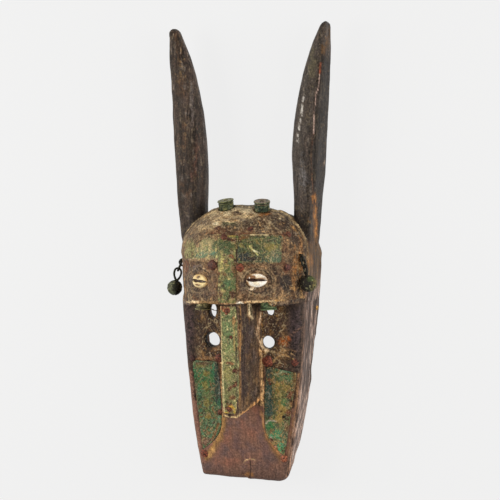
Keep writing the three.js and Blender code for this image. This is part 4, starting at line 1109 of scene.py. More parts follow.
class Shader:
    """A few short words for building a node material."""

    def __init__(self, name):
        self.material = bpy.data.materials.new(name)
        self.material.use_nodes = True
        self.tree = self.material.node_tree
        self.tree.nodes.clear()
        self.out = self.tree.nodes.new("ShaderNodeOutputMaterial")
        self.surface = self.tree.nodes.new("ShaderNodeBsdfPrincipled")
        self.tree.links.new(self.surface.outputs[0], self.out.inputs[0])
        self.place = self.tree.nodes.new("ShaderNodeTexCoord").outputs["Object"]

    def put(self, value, socket):
        if isinstance(value, bpy.types.NodeSocket):
            self.tree.links.new(value, socket)
        elif isinstance(value, tuple) and len(value) == 3 and socket.type == "RGBA":
            socket.default_value = (*value, 1)
        else:
            socket.default_value = value

    def math(self, kind, a, b=0.0, c=0.0):
        node = self.tree.nodes.new("ShaderNodeMath")
        node.operation = kind
        for value, socket in zip((a, b, c), node.inputs):
            self.put(value, socket)
        return node.outputs[0]

    def times(self, a, b):
        return self.math("MULTIPLY", a, b)

    def plus(self, a, b):
        return self.math("ADD", a, b)

    def minus(self, a, b):
        return self.math("SUBTRACT", a, b)

    def attribute(self, name, colour=False):
        node = self.tree.nodes.new("ShaderNodeAttribute")
        node.attribute_name = name
        return node.outputs["Color" if colour else "Fac"]

    def noise(self, size_mm, stretch=(1, 1, 1), detail=3.0, rough=0.55, turn=0.0):
        """Noise with lumps of about size_mm, longer along an axis by its stretch."""
        mapping = self.tree.nodes.new("ShaderNodeMapping")
        mapping.vector_type = "TEXTURE"
        mapping.inputs["Rotation"].default_value = (0, 0, turn)
        mapping.inputs["Scale"].default_value = stretch
        self.tree.links.new(self.place, mapping.inputs["Vector"])
        node = self.tree.nodes.new("ShaderNodeTexNoise")
        node.inputs["Scale"].default_value = 1000 / size_mm
        node.inputs["Detail"].default_value = detail
        node.inputs["Roughness"].default_value = rough
        self.tree.links.new(mapping.outputs[0], node.inputs["Vector"])
        return node.outputs["Fac"]

    def ramp(self, value, low, high, to_low=0.0, to_high=1.0):
        node = self.tree.nodes.new("ShaderNodeMapRange")
        node.interpolation_type = "SMOOTHSTEP"
        names = ("Value", "From Min", "From Max", "To Min", "To Max")
        for name, given in zip(names, (value, low, high, to_low, to_high)):
            self.put(given, node.inputs[name])
        return node.outputs[0]

    def blend(self, a, b, factor, kind="MIX"):
        node = self.tree.nodes.new("ShaderNodeMix")
        node.data_type, node.blend_type = "RGBA", kind
        self.put(factor, node.inputs["Factor"])
        self.put(a, node.inputs[6])
        self.put(b, node.inputs[7])
        return node.outputs[2]

    def bump(self, height, distance_mm, strength=1.0):
        node = self.tree.nodes.new("ShaderNodeBump")
        node.inputs["Strength"].default_value = strength
        node.inputs["Distance"].default_value = distance_mm / 1000
        self.put(height, node.inputs["Height"])
        self.tree.links.new(node.outputs[0], self.surface.inputs["Normal"])

    def set(self, **values):
        for name, value in values.items():
            self.put(value, self.surface.inputs[name.replace("_", " ")])


def threads(s, size_mm, stretch, turn, width):
    """Fine curling lines, as rubbed dust and scratches leave them."""
    around = s.noise(size_mm, stretch, 1.0, 0.4, turn)
    away = s.math("ABSOLUTE", s.minus(around, 0.5))
    broken = s.ramp(s.noise(size_mm * 0.8, (1, 1, 1), 2.0, 0.5, turn + 1), 0.42, 0.54)
    return s.times(s.ramp(away, 0.0, width, 1.0, 0.0), broken)


def mottled(s, lumps, flow=None, contrast=1.0):
    """The two painted tones in fine flecks, and the height field that goes with them."""
    fine = s.noise(lumps * 0.7, (1, 1.2, 1), 3.0, 0.6)
    spots = s.noise(lumps * 1.7, (1, 1.1, 1), 5.0, 0.7)
    if flow:
        streaks = s.noise(lumps * 1.3, (1, 14, 1), 4.0, 0.6)
        spots = s.plus(spots, s.times(flow, s.minus(streaks, spots)))
    edge = s.math("MULTIPLY_ADD", s.attribute("share"), -0.4, 0.7)
    flecks = s.ramp(s.minus(spots, edge), -0.035, 0.035)
    colour = s.blend(s.attribute("paint", True), s.attribute("other", True), flecks)
    tone = s.ramp(fine, 0.3, 0.7, 1 - 0.42 * contrast, 1 + 0.6 * contrast)
    tone = s.times(tone, s.ramp(spots, 0.3, 0.7, 1 + 0.25 * contrast, 1 - 0.25 * contrast))
    grit = s.noise(lumps, (1, 1, 1), 1.0, 0.5)
    if flow:
        drawn = s.noise(lumps * 0.9, (1, 7, 1), 2.0, 0.5)
        grit = s.plus(grit, s.times(flow, s.minus(drawn, grit)))
    tone = s.times(tone, s.ramp(grit, 0.34, 0.66, 1 - 0.34 * contrast, 1 + 0.38 * contrast))
    calm = s.attribute("calm")
    tone = s.plus(tone, s.times(calm, s.minus(1.0, tone)))
    shade = s.tree.nodes.new("ShaderNodeCombineColor")
    for socket in shade.inputs:
        s.put(tone, socket)
    colour = s.blend(colour, shade.outputs[0], 1.0, "MULTIPLY")
    hair = threads(s, lumps * 4, (1, 2.5, 1), 0.4, 0.02)
    hair = s.math("MAXIMUM", hair, threads(s, lumps * 3, (1, 3, 1), -0.7, 0.025))
    hair = s.times(hair, s.attribute("hair"))
    colour = s.blend(colour, (0.48, 0.36, 0.2), hair)
    specks = s.ramp(s.noise(lumps * 0.9, (1, 1, 1), 0.0, 0.5, 2.0), 0.68, 0.74)
    colour = s.blend(colour, (0.62, 0.5, 0.34), s.times(specks, s.times(s.attribute("hair"), 0.45)))
    height = s.plus(s.times(fine, 0.6), s.times(spots, 0.9))
    height = s.plus(height, s.times(hair, 0.3))
    return colour, height, fine


def wood_material():
    s = Shader("aged_wood")
    colour, height, fine = mottled(s, 2.6, s.attribute("flow"))
    crack = s.noise(3.2, (1, 26, 1), 5.0, 0.7)
    cracked = s.times(s.ramp(crack, 0.43, 0.36), s.attribute("flow"))
    colour = s.blend(colour, (0.012, 0.009, 0.006), s.times(cracked, 0.6))
    worn = s.times(s.attribute("wear"), s.ramp(fine, 0.45, 0.6))
    colour = s.blend(colour, (0.42, 0.25, 0.11), s.times(worn, 0.6))
    rough = s.minus(0.74, s.times(s.attribute("shine"), 0.3))
    rough = s.plus(rough, s.ramp(fine, 0.35, 0.7, -0.1, 0.12))
    s.set(Base_Color=colour, Roughness=rough, Specular_IOR_Level=0.2)
    s.bump(s.minus(height, s.times(cracked, 0.6)), 0.7, 1.0)
    return s.material


wood_piece.data.materials.append(wood_material())


# Building of the smaller pieces.
def grid_faces(rows, columns, wrap=False, start=0):
    """Quads over a grid of points, row by row; wrap joins the last column to the first."""
    faces = []
    for row in range(rows - 1):
        for column in range(columns if wrap else columns - 1):
            beside = (column + 1) % columns
            a, b = start + row * columns, start + (row + 1) * columns
            faces.append((a + column, a + beside, b + beside, b + column))
    return faces


def closed_tube(rings, close_route=False):
    """Points and outward faces of a body swept through rings of points (rings, around, 3)."""
    count, around = rings.shape[:2]
    points = rings.reshape(-1, 3)
    faces = grid_faces(count, around, wrap=True)
    if close_route:
        last = (count - 1) * around
        faces += [(last + i, last + (i + 1) % around, (i + 1) % around, i) for i in range(around)]
    else:
        ends = [rings[0].mean(0), rings[-1].mean(0)]
        points = np.concatenate([points, ends])
        first, last = count * around, count * around + 1
        top = (count - 1) * around
        faces += [(first, (i + 1) % around, i) for i in range(around)]
        faces += [(last, top + i, top + (i + 1) % around) for i in range(around)]
    return points, faces


def point_normals(points, faces):
    normals = np.zeros_like(points)
    for size in (3, 4):
        some = np.array([f for f in faces if len(f) == size])
        if len(some):
            across = points[some[:, 2]] - points[some[:, 0]]
            cross = np.cross(across, points[some[:, -1]] - points[some[:, 1]])
            for corner in range(size):
                np.add.at(normals, some[:, corner], cross)
    return normals / np.maximum(np.linalg.norm(normals, axis=1, keepdims=True), 1e-9)


def axes_for(direction, across=(0, 0, 1)):
    """Three square axes, the last along the direction."""
    along = np.array(direction, float)
    along /= np.linalg.norm(along)
    side = np.cross(across, along)
    if np.linalg.norm(side) < 0.1:
        side = np.cross((0, 1, 0), along)
    side /= np.linalg.norm(side)
    return side, np.cross(along, side), along


def turned(profile, around, place, direction, rough, seed):
    """A body turned round an axis from (radius, height) places, with an uneven skin."""
    side, other, along = axes_for(direction)
    angle = np.arange(around) * 2 * math.pi / around
    radius = np.array([r for r, h in profile])[:, None]
    height = np.array([h for r, h in profile])[:, None] + 0 * angle
    ring = np.stack([np.cos(angle), np.sin(angle)], -1)
    flat = np.stack([radius * ring[None, :, 0], radius * ring[None, :, 1], height], -1)
    bumps = noise(flat.reshape(-1, 3), 3.0, seed, 3).reshape(height.shape)
    radius = radius * (1 + rough * bumps)
    height = height + rough * 2.2 * noise(flat.reshape(-1, 3), 4.0, seed + 5, 2).reshape(height.shape)
    local_x, local_y = radius * ring[None, :, 0], radius * ring[None, :, 1]
    rings = place + local_x[..., None] * side + local_y[..., None] * other + height[..., None] * along
    return closed_tube(rings)


def wire(route, radius, rings, closed, seed):
    """Corroded round wire along a route given from 0 to 1."""
    shares = np.linspace(0, 1, rings, endpoint=not closed)
    middle = np.array([route(s) for s in shares])
    ahead = np.array([route(s + 1e-3) for s in shares]) - np.array([route(s - 1e-3) for s in shares])
    angle = np.arange(10) * 2 * math.pi / 10
    cosine, sine = np.cos(angle), np.sin(angle)
    around = 3 * np.stack([cosine, sine, 0 * angle], -1)
    sections = []
    for centre, forward in zip(middle, ahead):
        side, other, _ = axes_for(forward)
        thick = radius * (1 + 0.22 * noise(centre[None] + around, 2.6, seed))
        sections.append(centre + (thick * cosine)[:, None] * side + (thick * sine)[:, None] * other)
    return np.array(sections), closed


def join(bodies):
    points, faces, start = [], [], 0
    for body_points, body_faces in bodies:
        points.append(body_points)
        faces += [tuple(i + start for i in face) for face in body_faces]
        start += len(body_points)
    return np.concatenate(points), faces


def box_mm(node):
    """The lowest and highest corner of a solid node, in the modelling frame."""
    low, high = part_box(node)
    return [np.array(corner) * 1000 + (0, ORIGIN_Y, 0) for corner in (low, high)]


def painted(name, body, material, slot, node, coat_of):
    points, faces = body
    coat = coat_of(np.asarray(points), point_normals(np.asarray(points), faces))
    piece = mesh_object(name, points, faces, material, slot, (node,))
    coat.put_on(piece)
    return piece


# Metal that has lain in earth and smoke: one material per finish, coloured by the painted points.
def metal_material(name, metallic, rough, pits, lumps=2.0, specular=0.3, contrast=0.9):
    s = Shader(name)
    colour, height, fine = mottled(s, lumps, None, contrast)
    s.set(Base_Color=colour, Roughness=s.ramp(fine, 0.3, 0.7, rough - 0.14, rough + 0.16))
    s.set(Metallic=metallic, Specular_IOR_Level=specular)
    s.bump(height, pits, 0.9)
    return s.material


FOREHEAD_METAL = metal_material("forehead_patina", 0.25, 0.5, 0.5)
STRIP_METAL = metal_material("strip_patina", 0.25, 0.5, 0.5)
CHEEK_METAL = metal_material("cheek_patina", 0.3, 0.42, 0.4, contrast=0.7)
NAIL_METAL = metal_material("rusty_nails", 0.15, 0.55, 0.6, 1.6)
CARTRIDGE_METAL = metal_material("cartridge_patina", 0.3, 0.42, 0.35, 1.6)
BELL_METAL = metal_material("bell_crust", 0.2, 0.6, 0.7, 1.8, 0.3)

NAILS = [name for name in sorted(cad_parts) if name.startswith("nail_")]


def nail_places():
    """Nail name to its middle and head radius, read from the solid nodes."""
    found = {}
    for name in NAILS:
        low, high = box_mm(name)
        found[name] = ((low + high) / 2, max(high[0] - low[0], high[1] - low[1]) / 2)
    return found


NAIL_PLACES = nail_places()


def nose_strip_outline(u, v):
    y = mix(-5.0, NOSE_FRONT_BOTTOM_Y + 2.5, v)
    left = -nose_half(y) + 0.6 - 1.6 * smooth(y, -90, -20)
    right = nose_half(y) - 0.9 + 1.6 * bump_between(y, -118, -30, 14)
    return mix(left, right, u), y


def nose_top(x, y):
    over = np.maximum(0, np.abs(x) - nose_half(y) + 0.8)
    return nose_front_z(y) - 2.2 * over


def face_surface(x, y):
    return face_z(y) + 0 * x


def forehead_outline(name):
    left, right, lower, upper = FOREHEAD_SHEETS[name]

    def outline(u, v):
        return mix(left, right, u), mix(mix(*lower, u), mix(*upper, u), v)

    return outline


def cheek_outline(side):
    def outline(u, v):
        top = -85.5 if side < 0 else -87.5 - 6.4 * u
        y = mix(top, -205.0, v)
        outer = sheet_outer_edge(y, side)
        return side * mix(np.minimum(sheet_inner_edge(y, side), outer - 1), outer, u), y

    return outline


def uneven_steps(count, edge):
    return np.concatenate([[0, edge * 0.35], np.linspace(edge, 1 - edge, count), [1 - edge * 0.35, 1]])


def sheet_body(outline, surface, lift, seed, cells, edge, ragged=0.7, corner=1.5, thick=0.55):
    """A thin sheet of metal beaten down on the wood: dented, with an uneven outline."""
    u, v = np.meshgrid(uneven_steps(cells[0], edge[0]), uneven_steps(cells[1], edge[1]), indexing="ij")
    x, y = outline(u, v)
    middle = np.array([x.mean(), y.mean()])
    across, along = 2 * u - 1, 2 * v - 1
    place = np.stack([x.ravel(), y.ravel(), 0 * x.ravel()], -1)
    sway = noise(place, 7.0, seed, 3).reshape(x.shape)
    sway_along = noise(place, 6.0, seed + 4, 3).reshape(x.shape)
    pull = corner * np.abs(across) ** 14 * np.abs(along) ** 14
    x = x + across**7 * sway * ragged + pull * np.sign(middle[0] - x)
    y = y - np.abs(along) ** 7 * np.sign(along) * sway_along * ragged + pull * np.sign(middle[1] - y)
    place = np.stack([x.ravel(), y.ravel(), 0 * x.ravel()], -1)
    height = lift + 0.34 * noise(place, 13.0, seed + 8, 2) + 0.13 * noise(place, 3.4, seed + 12, 3)
    height = height.reshape(x.shape)
    rim_across = smooth(np.abs(across), 1 - 1.6 * edge[0], 1)
    rim_along = smooth(np.abs(along), 1 - 1.6 * edge[1], 1)
    height = height - 0.28 * np.maximum(rim_across, rim_along)
    for (nail_x, nail_y, _), radius in NAIL_PLACES.values():
        height = height - 0.5 * np.exp(-(((x - nail_x) ** 2 + (y - nail_y) ** 2) / (radius + 1.5) ** 2))
    normal = normal_of(surface, x, y)
    floor_points = np.stack([x, y, surface(x, y)], -1)
    top = floor_points + normal * height[..., None]
    bottom = top - normal * thick
    rows, columns = x.shape
    points = np.concatenate([top.reshape(-1, 3), bottom.reshape(-1, 3)])
    upper = grid_faces(rows, columns)
    half_u, half_v = rows // 2, columns // 2
    corner_place = top[half_u, half_v]
    turn = np.cross(top[half_u + 1, half_v] - corner_place, top[half_u, half_v + 1] - corner_place)
    sign = turn @ normal[half_u, half_v]
    base = rows * columns
    faces = [face if sign < 0 else face[::-1] for face in upper]
    faces += [tuple(i + base for i in face[::-1]) for face in faces]
    border = [(r, 0) for r in range(rows)] + [(rows - 1, c) for c in range(1, columns)]
    border += [(r, columns - 1) for r in range(rows - 2, -1, -1)]
    border += [(0, c) for c in range(columns - 2, 0, -1)]
    loop = [r * columns + c for r, c in border]
    for a, b in zip(loop, loop[1:] + loop[:1]):
        face = (a, b, b + base, a + base)
        faces.append(face[::-1] if sign < 0 else face)
    return points, faces


def fray(coat, low_u, high_u, low_v, high_v):
    """The wood's colours over a sheet beyond the columns and rows where its metal shows."""
    gone = np.maximum(low_u - coat.u, coat.u - high_u)
    gone = np.maximum(gone, np.maximum(low_v - coat.v, coat.v - high_v)) + 2.6 * coat.rough_edge
    coat.lay((124, 98, 68), smooth(gone, -0.6, 0.9) * 0.9)
    coat.lay((66, 50, 38), smooth(gone, -0.6, 0.9) * coat.dark_crumbs)


BAND_LEFT_SHOWS = (190.5, 400, 238.5, 258)
BAND_LEFT_MARKS = [
    ("stain", (156, 138, 98), 1.2, [
        (190, 254, 3, 9, 0.48), (202, 246, 2, 10, 0.64), (209.5, 249, 2, 9, 0.72), (198, 243, 7, 3, 0.4),
    ]),
    ("stain", (66, 96, 78), 1.1, [
        (213.5, 253, 3.5, 3, 0.8075), (201, 256, 5, 4, 0.595), (193, 246, 3, 6, 0.17),
        (198, 257, 4, 2.5, 0.51),
    ]),
    ("stain", (58, 70, 46), 0.8, [(214, 243, 3, 6, 0.7), (209, 239, 5, 3, 0.5), (190, 241, 3, 4, 0.4)]),
    ("rust", (104, 72, 46), [
        (194, 260.5, 8, 2.5, 0.9), (212, 260, 4, 2, 0.9), (216, 236, 2, 4, 0.7), (205, 261.5, 8, 2, 0.7),
    ]),
    ("stain", (140, 134, 76), 1.0, [(191.5, 242, 4.5, 8, 0.6)]),
    ("stain", (182, 160, 114), 1.1, [(210, 240.5, 5, 5, 0.6)]),
    ("stain", (206, 192, 150), 0.6, [(194, 259, 2, 1.4, 0.7)]),
]


def metal_coat(points, normals, base, seed, light, dark, dark_size, speckled=True):
    """The first layers of a metal sheet; light and dark are flecks, each a tone and how much of it."""
    coat = Coat(points, normals, base, seed)
    if speckled:
        coat.speckle()
    coat.hair += 0.5
    coat.fleck(light[0], 1, light[1])
    coat.fleck(dark[0], smooth(coat.noise(dark_size, 2), 0.0, 0.3), dark[1])
    return coat


def coat_band_left(points, normals):
    coat = metal_coat(points, normals, (98, 102, 68), 300, ((170, 150, 100), 0.36), ((62, 50, 34), 0.4), 9)
    coat.veil((72, 84, 54), 1, 6, -0.1, 0.4, 0.8)
    coat.veil((128, 124, 78), 1, (3, 14, 4), 0.05, 0.45, 0.7)
    coat.marks(BAND_LEFT_MARKS)
    fray(coat, *BAND_LEFT_SHOWS)
    return coat


BAND_RIGHT_SHOWS = (0, 282.5, 236, 262.2)
BAND_RIGHT_MARKS = [
    ("stain", (124, 110, 52), 0.8, [(270, 247, 8, 4, 0.8)]),
    ("stain", (108, 116, 78), 0.8, [(274, 240, 7, 4, 0.5)]),
    ("stain", (72, 90, 68), 0.9, [(276, 259, 6, 4, 0.7)]),
    ("stain", (62, 86, 74), 0.8, [(266, 262, 8, 2, 0.6)]),
    ("stain", (44, 50, 54), 0.6, [(243, 257, 8, 5, 0.85)]),
    ("stain", (60, 44, 42), 0.6, [(252, 258.5, 5, 2, 0.7)]),
    ("stain", (60, 72, 58), 0.7, [(239, 250, 3, 6, 0.7)]),
    ("stain", (150, 138, 74), 0.9, [(241, 245, 2.4, 2, 0.8), (249, 246, 3, 2, 0.6), (256, 240, 5, 2, 0.4)]),
    ("stain", (122, 76, 42), 0.9, [
        (240, 238, 4, 2.5, 0.7), (246, 237, 3, 2, 0.7), (282, 244, 1.5, 8, 0.5),
    ]),
    ("line", (198, 190, 120), [(249.5, 246), (252.5, 249.5), (255, 251.5), (258, 255)], 0.9, 0.95, 0.3),
    ("line", (214, 208, 170), [(253.5, 250.5), (257, 252)], 1.0, 0.9, 0.3),
    ("line", (198, 178, 140), [(253, 263.4), (258, 263.6)], 0.9, 0.9, 0.3),
    ("line", (34, 28, 28), [(237.5, 238), (236.5, 262)], 1.0, 0.8, 0.5),
]
BAND_RIGHT_EDGE = [
    ("line", (204, 188, 142), [(250.5, 234.6), (258, 234.3), (269, 235)], 0.8, 0.95, 0.3),
]


def coat_band_right(points, normals):
    coat = metal_coat(points, normals, (72, 82, 54), 320, ((136, 118, 70), 0.34), ((46, 38, 30), 0.4), 9)
    coat.veil((50, 62, 46), 1, 7, -0.1, 0.4, 0.8)
    coat.veil((96, 96, 60), 1, (9, 4, 5), 0.1, 0.45, 0.6)
    coat.marks(BAND_RIGHT_MARKS)
    fray(coat, *BAND_RIGHT_SHOWS)
    coat.colour *= 0.93
    coat.marks(BAND_RIGHT_EDGE)
    return coat


FOREHEAD_STRIP_MARKS = [
    ("stain", (60, 74, 46), 0.7, [(226, 246, 9, 9, 0.8)]),
    ("stain", (76, 96, 58), 0.8, [(228, 288, 8, 12, 0.7)]),
    ("stain", (70, 100, 68), 0.8, [(227, 283, 5, 4, 0.6)]),
    ("stain", (172, 162, 96), 0.8, [(221.5, 262, 2.5, 9, 0.8)]),
    ("stain", (196, 180, 120), 0.8, [(219.5, 284, 1.5, 4, 0.7)]),
    ("rust", (104, 58, 34), [
        (231.5, 256, 3, 2, 0.9), (218.5, 274, 2, 2, 0.9), (225, 274.5, 2, 1.6, 0.8),
        (234, 268, 2.5, 9, 0.55), (233, 294, 4, 5, 0.85), (220, 295, 3, 5, 0.6), (225, 238, 8, 2.5, 0.9),
        (234, 240, 3, 4, 0.7), (226, 262, 3, 2, 0.4),
    ]),
    ("stain", (190, 168, 108), 0.9, [
        (223, 268, 2, 2, 0.8), (229, 279, 2, 1, 0.8), (224, 291, 3, 2, 0.8), (231, 300, 2, 1, 0.8),
    ]),
    ("stain", (170, 140, 60), 0.8, [(232, 236, 5, 1.4, 0.8)]),
    ("line", (44, 36, 30), [(236.3, 238), (236, 262), (236, 300)], 0.7, 0.6, 0.7),
]


def coat_forehead_strip(points, normals):
    coat = metal_coat(points, normals, (104, 102, 62), 340, ((164, 142, 84), 0.34), ((60, 42, 28), 0.42), 8)
    coat.veil((78, 92, 54), 1, 6, -0.1, 0.4, 0.8)
    coat.veil((150, 142, 92), 1, (3, 8, 4), 0.12, 0.5, 0.7)
    coat.marks(FOREHEAD_STRIP_MARKS)
    coat.colour *= 0.96
    return coat


NOSE_STRIP_GREEN = [
    ("stain", (82, 104, 68), 0.8, [(229, 332, 6, 26, 0.65)]),
]
NOSE_STRIP_MARKS_AND_HIGHLIGHT = [
    ("line", (104, 62, 38), [(238.4, 306), (238.6, 330), (239, 356)], 1.1, 0.8, 1.0),
    ("stain", (120, 126, 80), 0.8, [(229, 352, 6, 8, 0.6)]),
    ("stain", (152, 138, 74), 0.9, [(228, 374, 5, 9, 0.5)]),
    ("stain", (96, 94, 56), 0.9, [(231, 392, 6, 9, 0.7)]),
    ("stain", (118, 116, 78), 0.8, [(231, 384, 3, 16, 0.4)]),
    ("rust", (112, 54, 36), [
        (224, 308, 5, 4, 0.8), (227, 311, 3, 3, 0.9), (231, 337, 2, 1.4, 0.95), (229, 363.5, 4, 1.4, 0.85),
        (236.5, 371, 1.6, 3, 0.85), (236.5, 385, 2, 3, 0.9), (230, 388, 2, 2, 0.7), (233, 398, 3, 3, 0.5),
        (229, 409, 5, 5, 0.85), (234, 320, 2, 6, 0.5),
    ]),
    ("stain", (196, 160, 60), 0.9, [
        (231, 407, 3, 1.6, 0.8), (226, 413, 3, 1.6, 0.8), (234.5, 410, 1.2, 4, 0.8),
    ]),
    ("stain", (186, 144, 66), 0.8, [(231, 305, 4, 1.8, 0.8)]),
    # A painted highlight along the nose's left edge.
    ("line", (206, 170, 122), [(220.6, 306), (220.9, 330), (221.4, 350)], 0.8, 0.8, 1.2),
    ("line", (216, 196, 150), [(221.2, 345), (222.8, 372), (223.8, 396), (224.3, 412)], 0.55, 0.8, 1.3),
    ("line", (176, 140, 84), [(233.5, 318), (234.5, 350)], 1.0, 0.6, 0.9),
    ("line", (52, 44, 34), [(236, 345), (236.6, 366), (237, 402)], 0.9, 0.6, 1.0),
    ("line", (236, 216, 150), [(236.6, 403), (236.6, 412)], 0.9, 0.9, 0.4),
]


def coat_nose_strip(points, normals):
    coat = metal_coat(
        points, normals, (110, 114, 74), 360,
        ((170, 158, 108), 0.3), ((72, 56, 36), 0.42), 8, False,
    )
    coat.veil((92, 104, 64), 1, (5, 12, 5), -0.1, 0.4, 0.75)
    coat.veil((170, 160, 104), 1, (3, 7, 3), 0.15, 0.5, 0.6)
    coat.marks(NOSE_STRIP_GREEN)
    coat.veil((54, 60, 34), 1, 2.6, 0.08, 0.4, 0.9)
    coat.veil((206, 190, 138), 1, 2.2, 0.22, 0.55, 0.85)
    coat.marks(NOSE_STRIP_MARKS_AND_HIGHLIGHT)
    return coat


CHEEK_SHINE = [(218.5, 376), (219.5, 400)]
CHEEK_ROWS, CHEEK_PALE_ROWS = (362, 448), (385, 430)
CHEEK_LEFT_MARKS_HIGHLIGHT_AND_SHADE = [
    # A painted highlight: the shiny teal glint at the sheet's upper right.
    ("stain", (54, 120, 84), 0.9, [(213.5, 369, 2.4, 7, 0.8)]),
    ("stain", (36, 100, 60), 0.8, [(194, 374, 2.5, 7, 0.85)]),
    ("stain", (56, 118, 66), 0.8, [(205, 382, 8, 12, 0.6)]),
    ("stain", (140, 114, 56), 1.0, [
        (206, 374, 3, 4, 0.8), (205, 385, 2.6, 6, 0.8), (206, 403, 4, 5, 0.8), (208, 416, 3.5, 3, 0.9),
        (201, 366, 6, 2, 0.6),
    ]),
    ("stain", (110, 112, 62), 1.0, [(206, 394, 5, 22, 0.5)]),
    ("stain", (88, 60, 40), 0.7, [(204, 363.5, 9, 2, 0.75)]),
    ("stain", (88, 66, 44), 1.0, [(196, 386, 2, 9, 0.4)]),
    # Painted shade where the sheet bends down along its right edge.
    ("line", (52, 66, 58), [(216.2, 362), (216.6, 384), (217, 402)], 2.2, 0.85, 0.4),
    ("line", (86, 92, 90), [(219, 364), (219.6, 384), (220, 398)], 1.4, 0.8, 0.7),
    ("line", (66, 112, 84), [(219, 400), (219.4, 410)], 1.6, 0.8, 0.5),
    ("line", (112, 78, 48), [(212, 440), (215.6, 432), (218.4, 424)], 1.5, 0.9, 0.8),
    ("stain", (116, 70, 62), 1.0, [(206, 441, 5, 4, 0.75)]),
    ("stain", (110, 74, 60), 0.9, [(219, 412, 2, 3, 0.7)]),
]


def coat_cheek_left(points, normals):
    coat = metal_coat(
        points, normals, (76, 98, 68), 380,
        ((140, 112, 72), 0.36), ((58, 52, 38), 0.36), (6, 12, 6),
    )
    down = share(coat.v, *CHEEK_ROWS)
    coat.lay((50, 92, 62), smooth(coat.noise((5, 14, 5), 3), -0.1, 0.4) * (1 - 0.6 * down) * 0.8)
    coat.lay((86, 122, 98), smooth(coat.noise((4, 8, 4), 3), 0.0, 0.5) * (0.35 + 0.55 * down))
    coat.marks(CHEEK_LEFT_MARKS_HIGHLIGHT_AND_SHADE)
    pale = smooth(coat.noise(1.6, 2), 0.35, 0.6)
    coat.lay((160, 168, 150), pale * smooth(coat.v, *CHEEK_PALE_ROWS) * 0.7)
    coat.lay((176, 172, 160), pale * along_path(coat.u, coat.v, CHEEK_SHINE, 2.5))
    return coat


# Light specks on the right sheet: the columns and rows where they come in, and the rows where they end.
SPECK_COLUMNS, SPECK_TOP, SPECK_FOOT = (270, 275), (372, 380), (428, 436)
CHEEK_RIGHT_MARKS = [
    ("stain", (66, 128, 102), 0.8, [(285, 370, 9, 3, 0.7)]),
    ("stain", (68, 116, 78), 0.8, [(284, 378, 8, 4, 0.7)]),
    ("stain", (70, 82, 78), 0.7, [(269, 372, 4, 8, 0.8)]),
    ("line", (58, 82, 78), [(268.5, 386), (268.5, 400), (269.5, 413)], 4.5, 0.8, 0.5),
    ("stain", (122, 118, 68), 0.8, [(280, 392, 7, 14, 0.75)]),
    ("stain", (172, 140, 76), 1.1, [
        (277, 388, 2.4, 8, 0.8), (281, 402, 3, 6, 0.8), (279, 418, 5, 8, 0.85), (286, 388, 4, 5, 0.6),
        (283, 410, 5, 4, 0.8),
    ]),
    ("stain", (66, 116, 74), 0.8, [(284, 402, 3.5, 4, 0.7)]),
    ("stain", (54, 112, 66), 0.8, [(270, 425, 5, 6, 0.8)]),
    ("stain", (70, 138, 96), 0.7, [(277, 434, 4, 6, 0.9), (280, 447, 4, 7, 0.9), (272, 437, 3, 4, 0.8)]),
    ("stain", (90, 122, 98), 0.9, [(284, 436, 4, 10, 0.6)]),
    ("rust", (120, 62, 44), [
        (269.5, 380, 1.8, 2.2, 0.95), (269.8, 384, 1.8, 1.4, 0.9), (291, 395, 4, 4, 0.85),
        (288.5, 413, 3, 3, 0.8), (292, 405, 2, 8, 0.6), (271, 440, 2.4, 3, 0.8), (275, 448, 2.4, 3, 0.8),
        (287, 428, 3, 5, 0.5),
    ]),
    ("stain", (38, 28, 24), 0.5, [(284, 417, 2.4, 1.8, 0.95)]),
    ("stain", (196, 132, 110), 0.4, [(275.6, 446.5, 1.2, 1, 0.9)]),
    ("stain", (206, 188, 178), 0.4, [(271, 437, 1, 0.9, 0.9)]),
    ("line", (184, 170, 150), [(265.8, 423.5), (268.4, 420.8), (272, 420.4), (276, 421.5)], 0.8, 0.9, 0.3),
    ("line", (190, 190, 150), [(274.5, 374.5), (280, 373.5), (282.5, 371)], 0.9, 0.8, 0.6),
    ("line", (150, 152, 140), [(265.5, 394), (267.6, 391.5), (269.6, 394), (268.8, 398)], 0.7, 0.8, 0.4),
    ("line", (120, 74, 42), [(294.6, 374), (294, 400), (290.6, 428)], 1.6, 0.6, 1.0),
]


def coat_cheek_right(points, normals):
    coat = metal_coat(
        points, normals, (88, 96, 64), 400,
        ((172, 138, 90), 0.4), ((70, 50, 36), 0.4), (6, 12, 6),
    )
    coat.veil((60, 84, 64), 1, (5, 12, 5), -0.1, 0.4, 0.7)
    coat.marks(CHEEK_RIGHT_MARKS)
    specks = smooth(coat.noise(1.5, 2), 0.35, 0.6) * smooth(coat.u, *SPECK_COLUMNS)
    specks = specks * smooth(coat.v, *SPECK_TOP) * (1 - smooth(coat.v, *SPECK_FOOT))
    coat.lay((196, 170, 110), specks * 0.8)
    return coat


# Outline, surface, lift, grid cells across and along, metal, slot and coat of each sheet.
SHEETS = {
    "forehead_band_left": (
        forehead_outline("forehead_band_left"), vault_z, 0.75, (58, 36),
        FOREHEAD_METAL, "forehead_metal", coat_band_left,
    ),
    "forehead_band_right": (
        forehead_outline("forehead_band_right"), vault_z, 0.75, (56, 38),
        FOREHEAD_METAL, "forehead_metal", coat_band_right,
    ),
    "forehead_strip": (
        forehead_outline("forehead_strip"), vault_z, 0.95, (26, 84),
        STRIP_METAL, "strip_metal", coat_forehead_strip,
    ),
    "nose_strip": (nose_strip_outline, nose_top, 0.9, (26, 130), STRIP_METAL, "strip_metal", coat_nose_strip),
    "cheek_sheet_left": (
        cheek_outline(-1), face_surface, 0.1, (42, 116),
        CHEEK_METAL, "cheek_metal", coat_cheek_left,
    ),
    "cheek_sheet_right": (
        cheek_outline(1), face_surface, 0.1, (44, 116),
        CHEEK_METAL, "cheek_metal", coat_cheek_right,
    ),
}
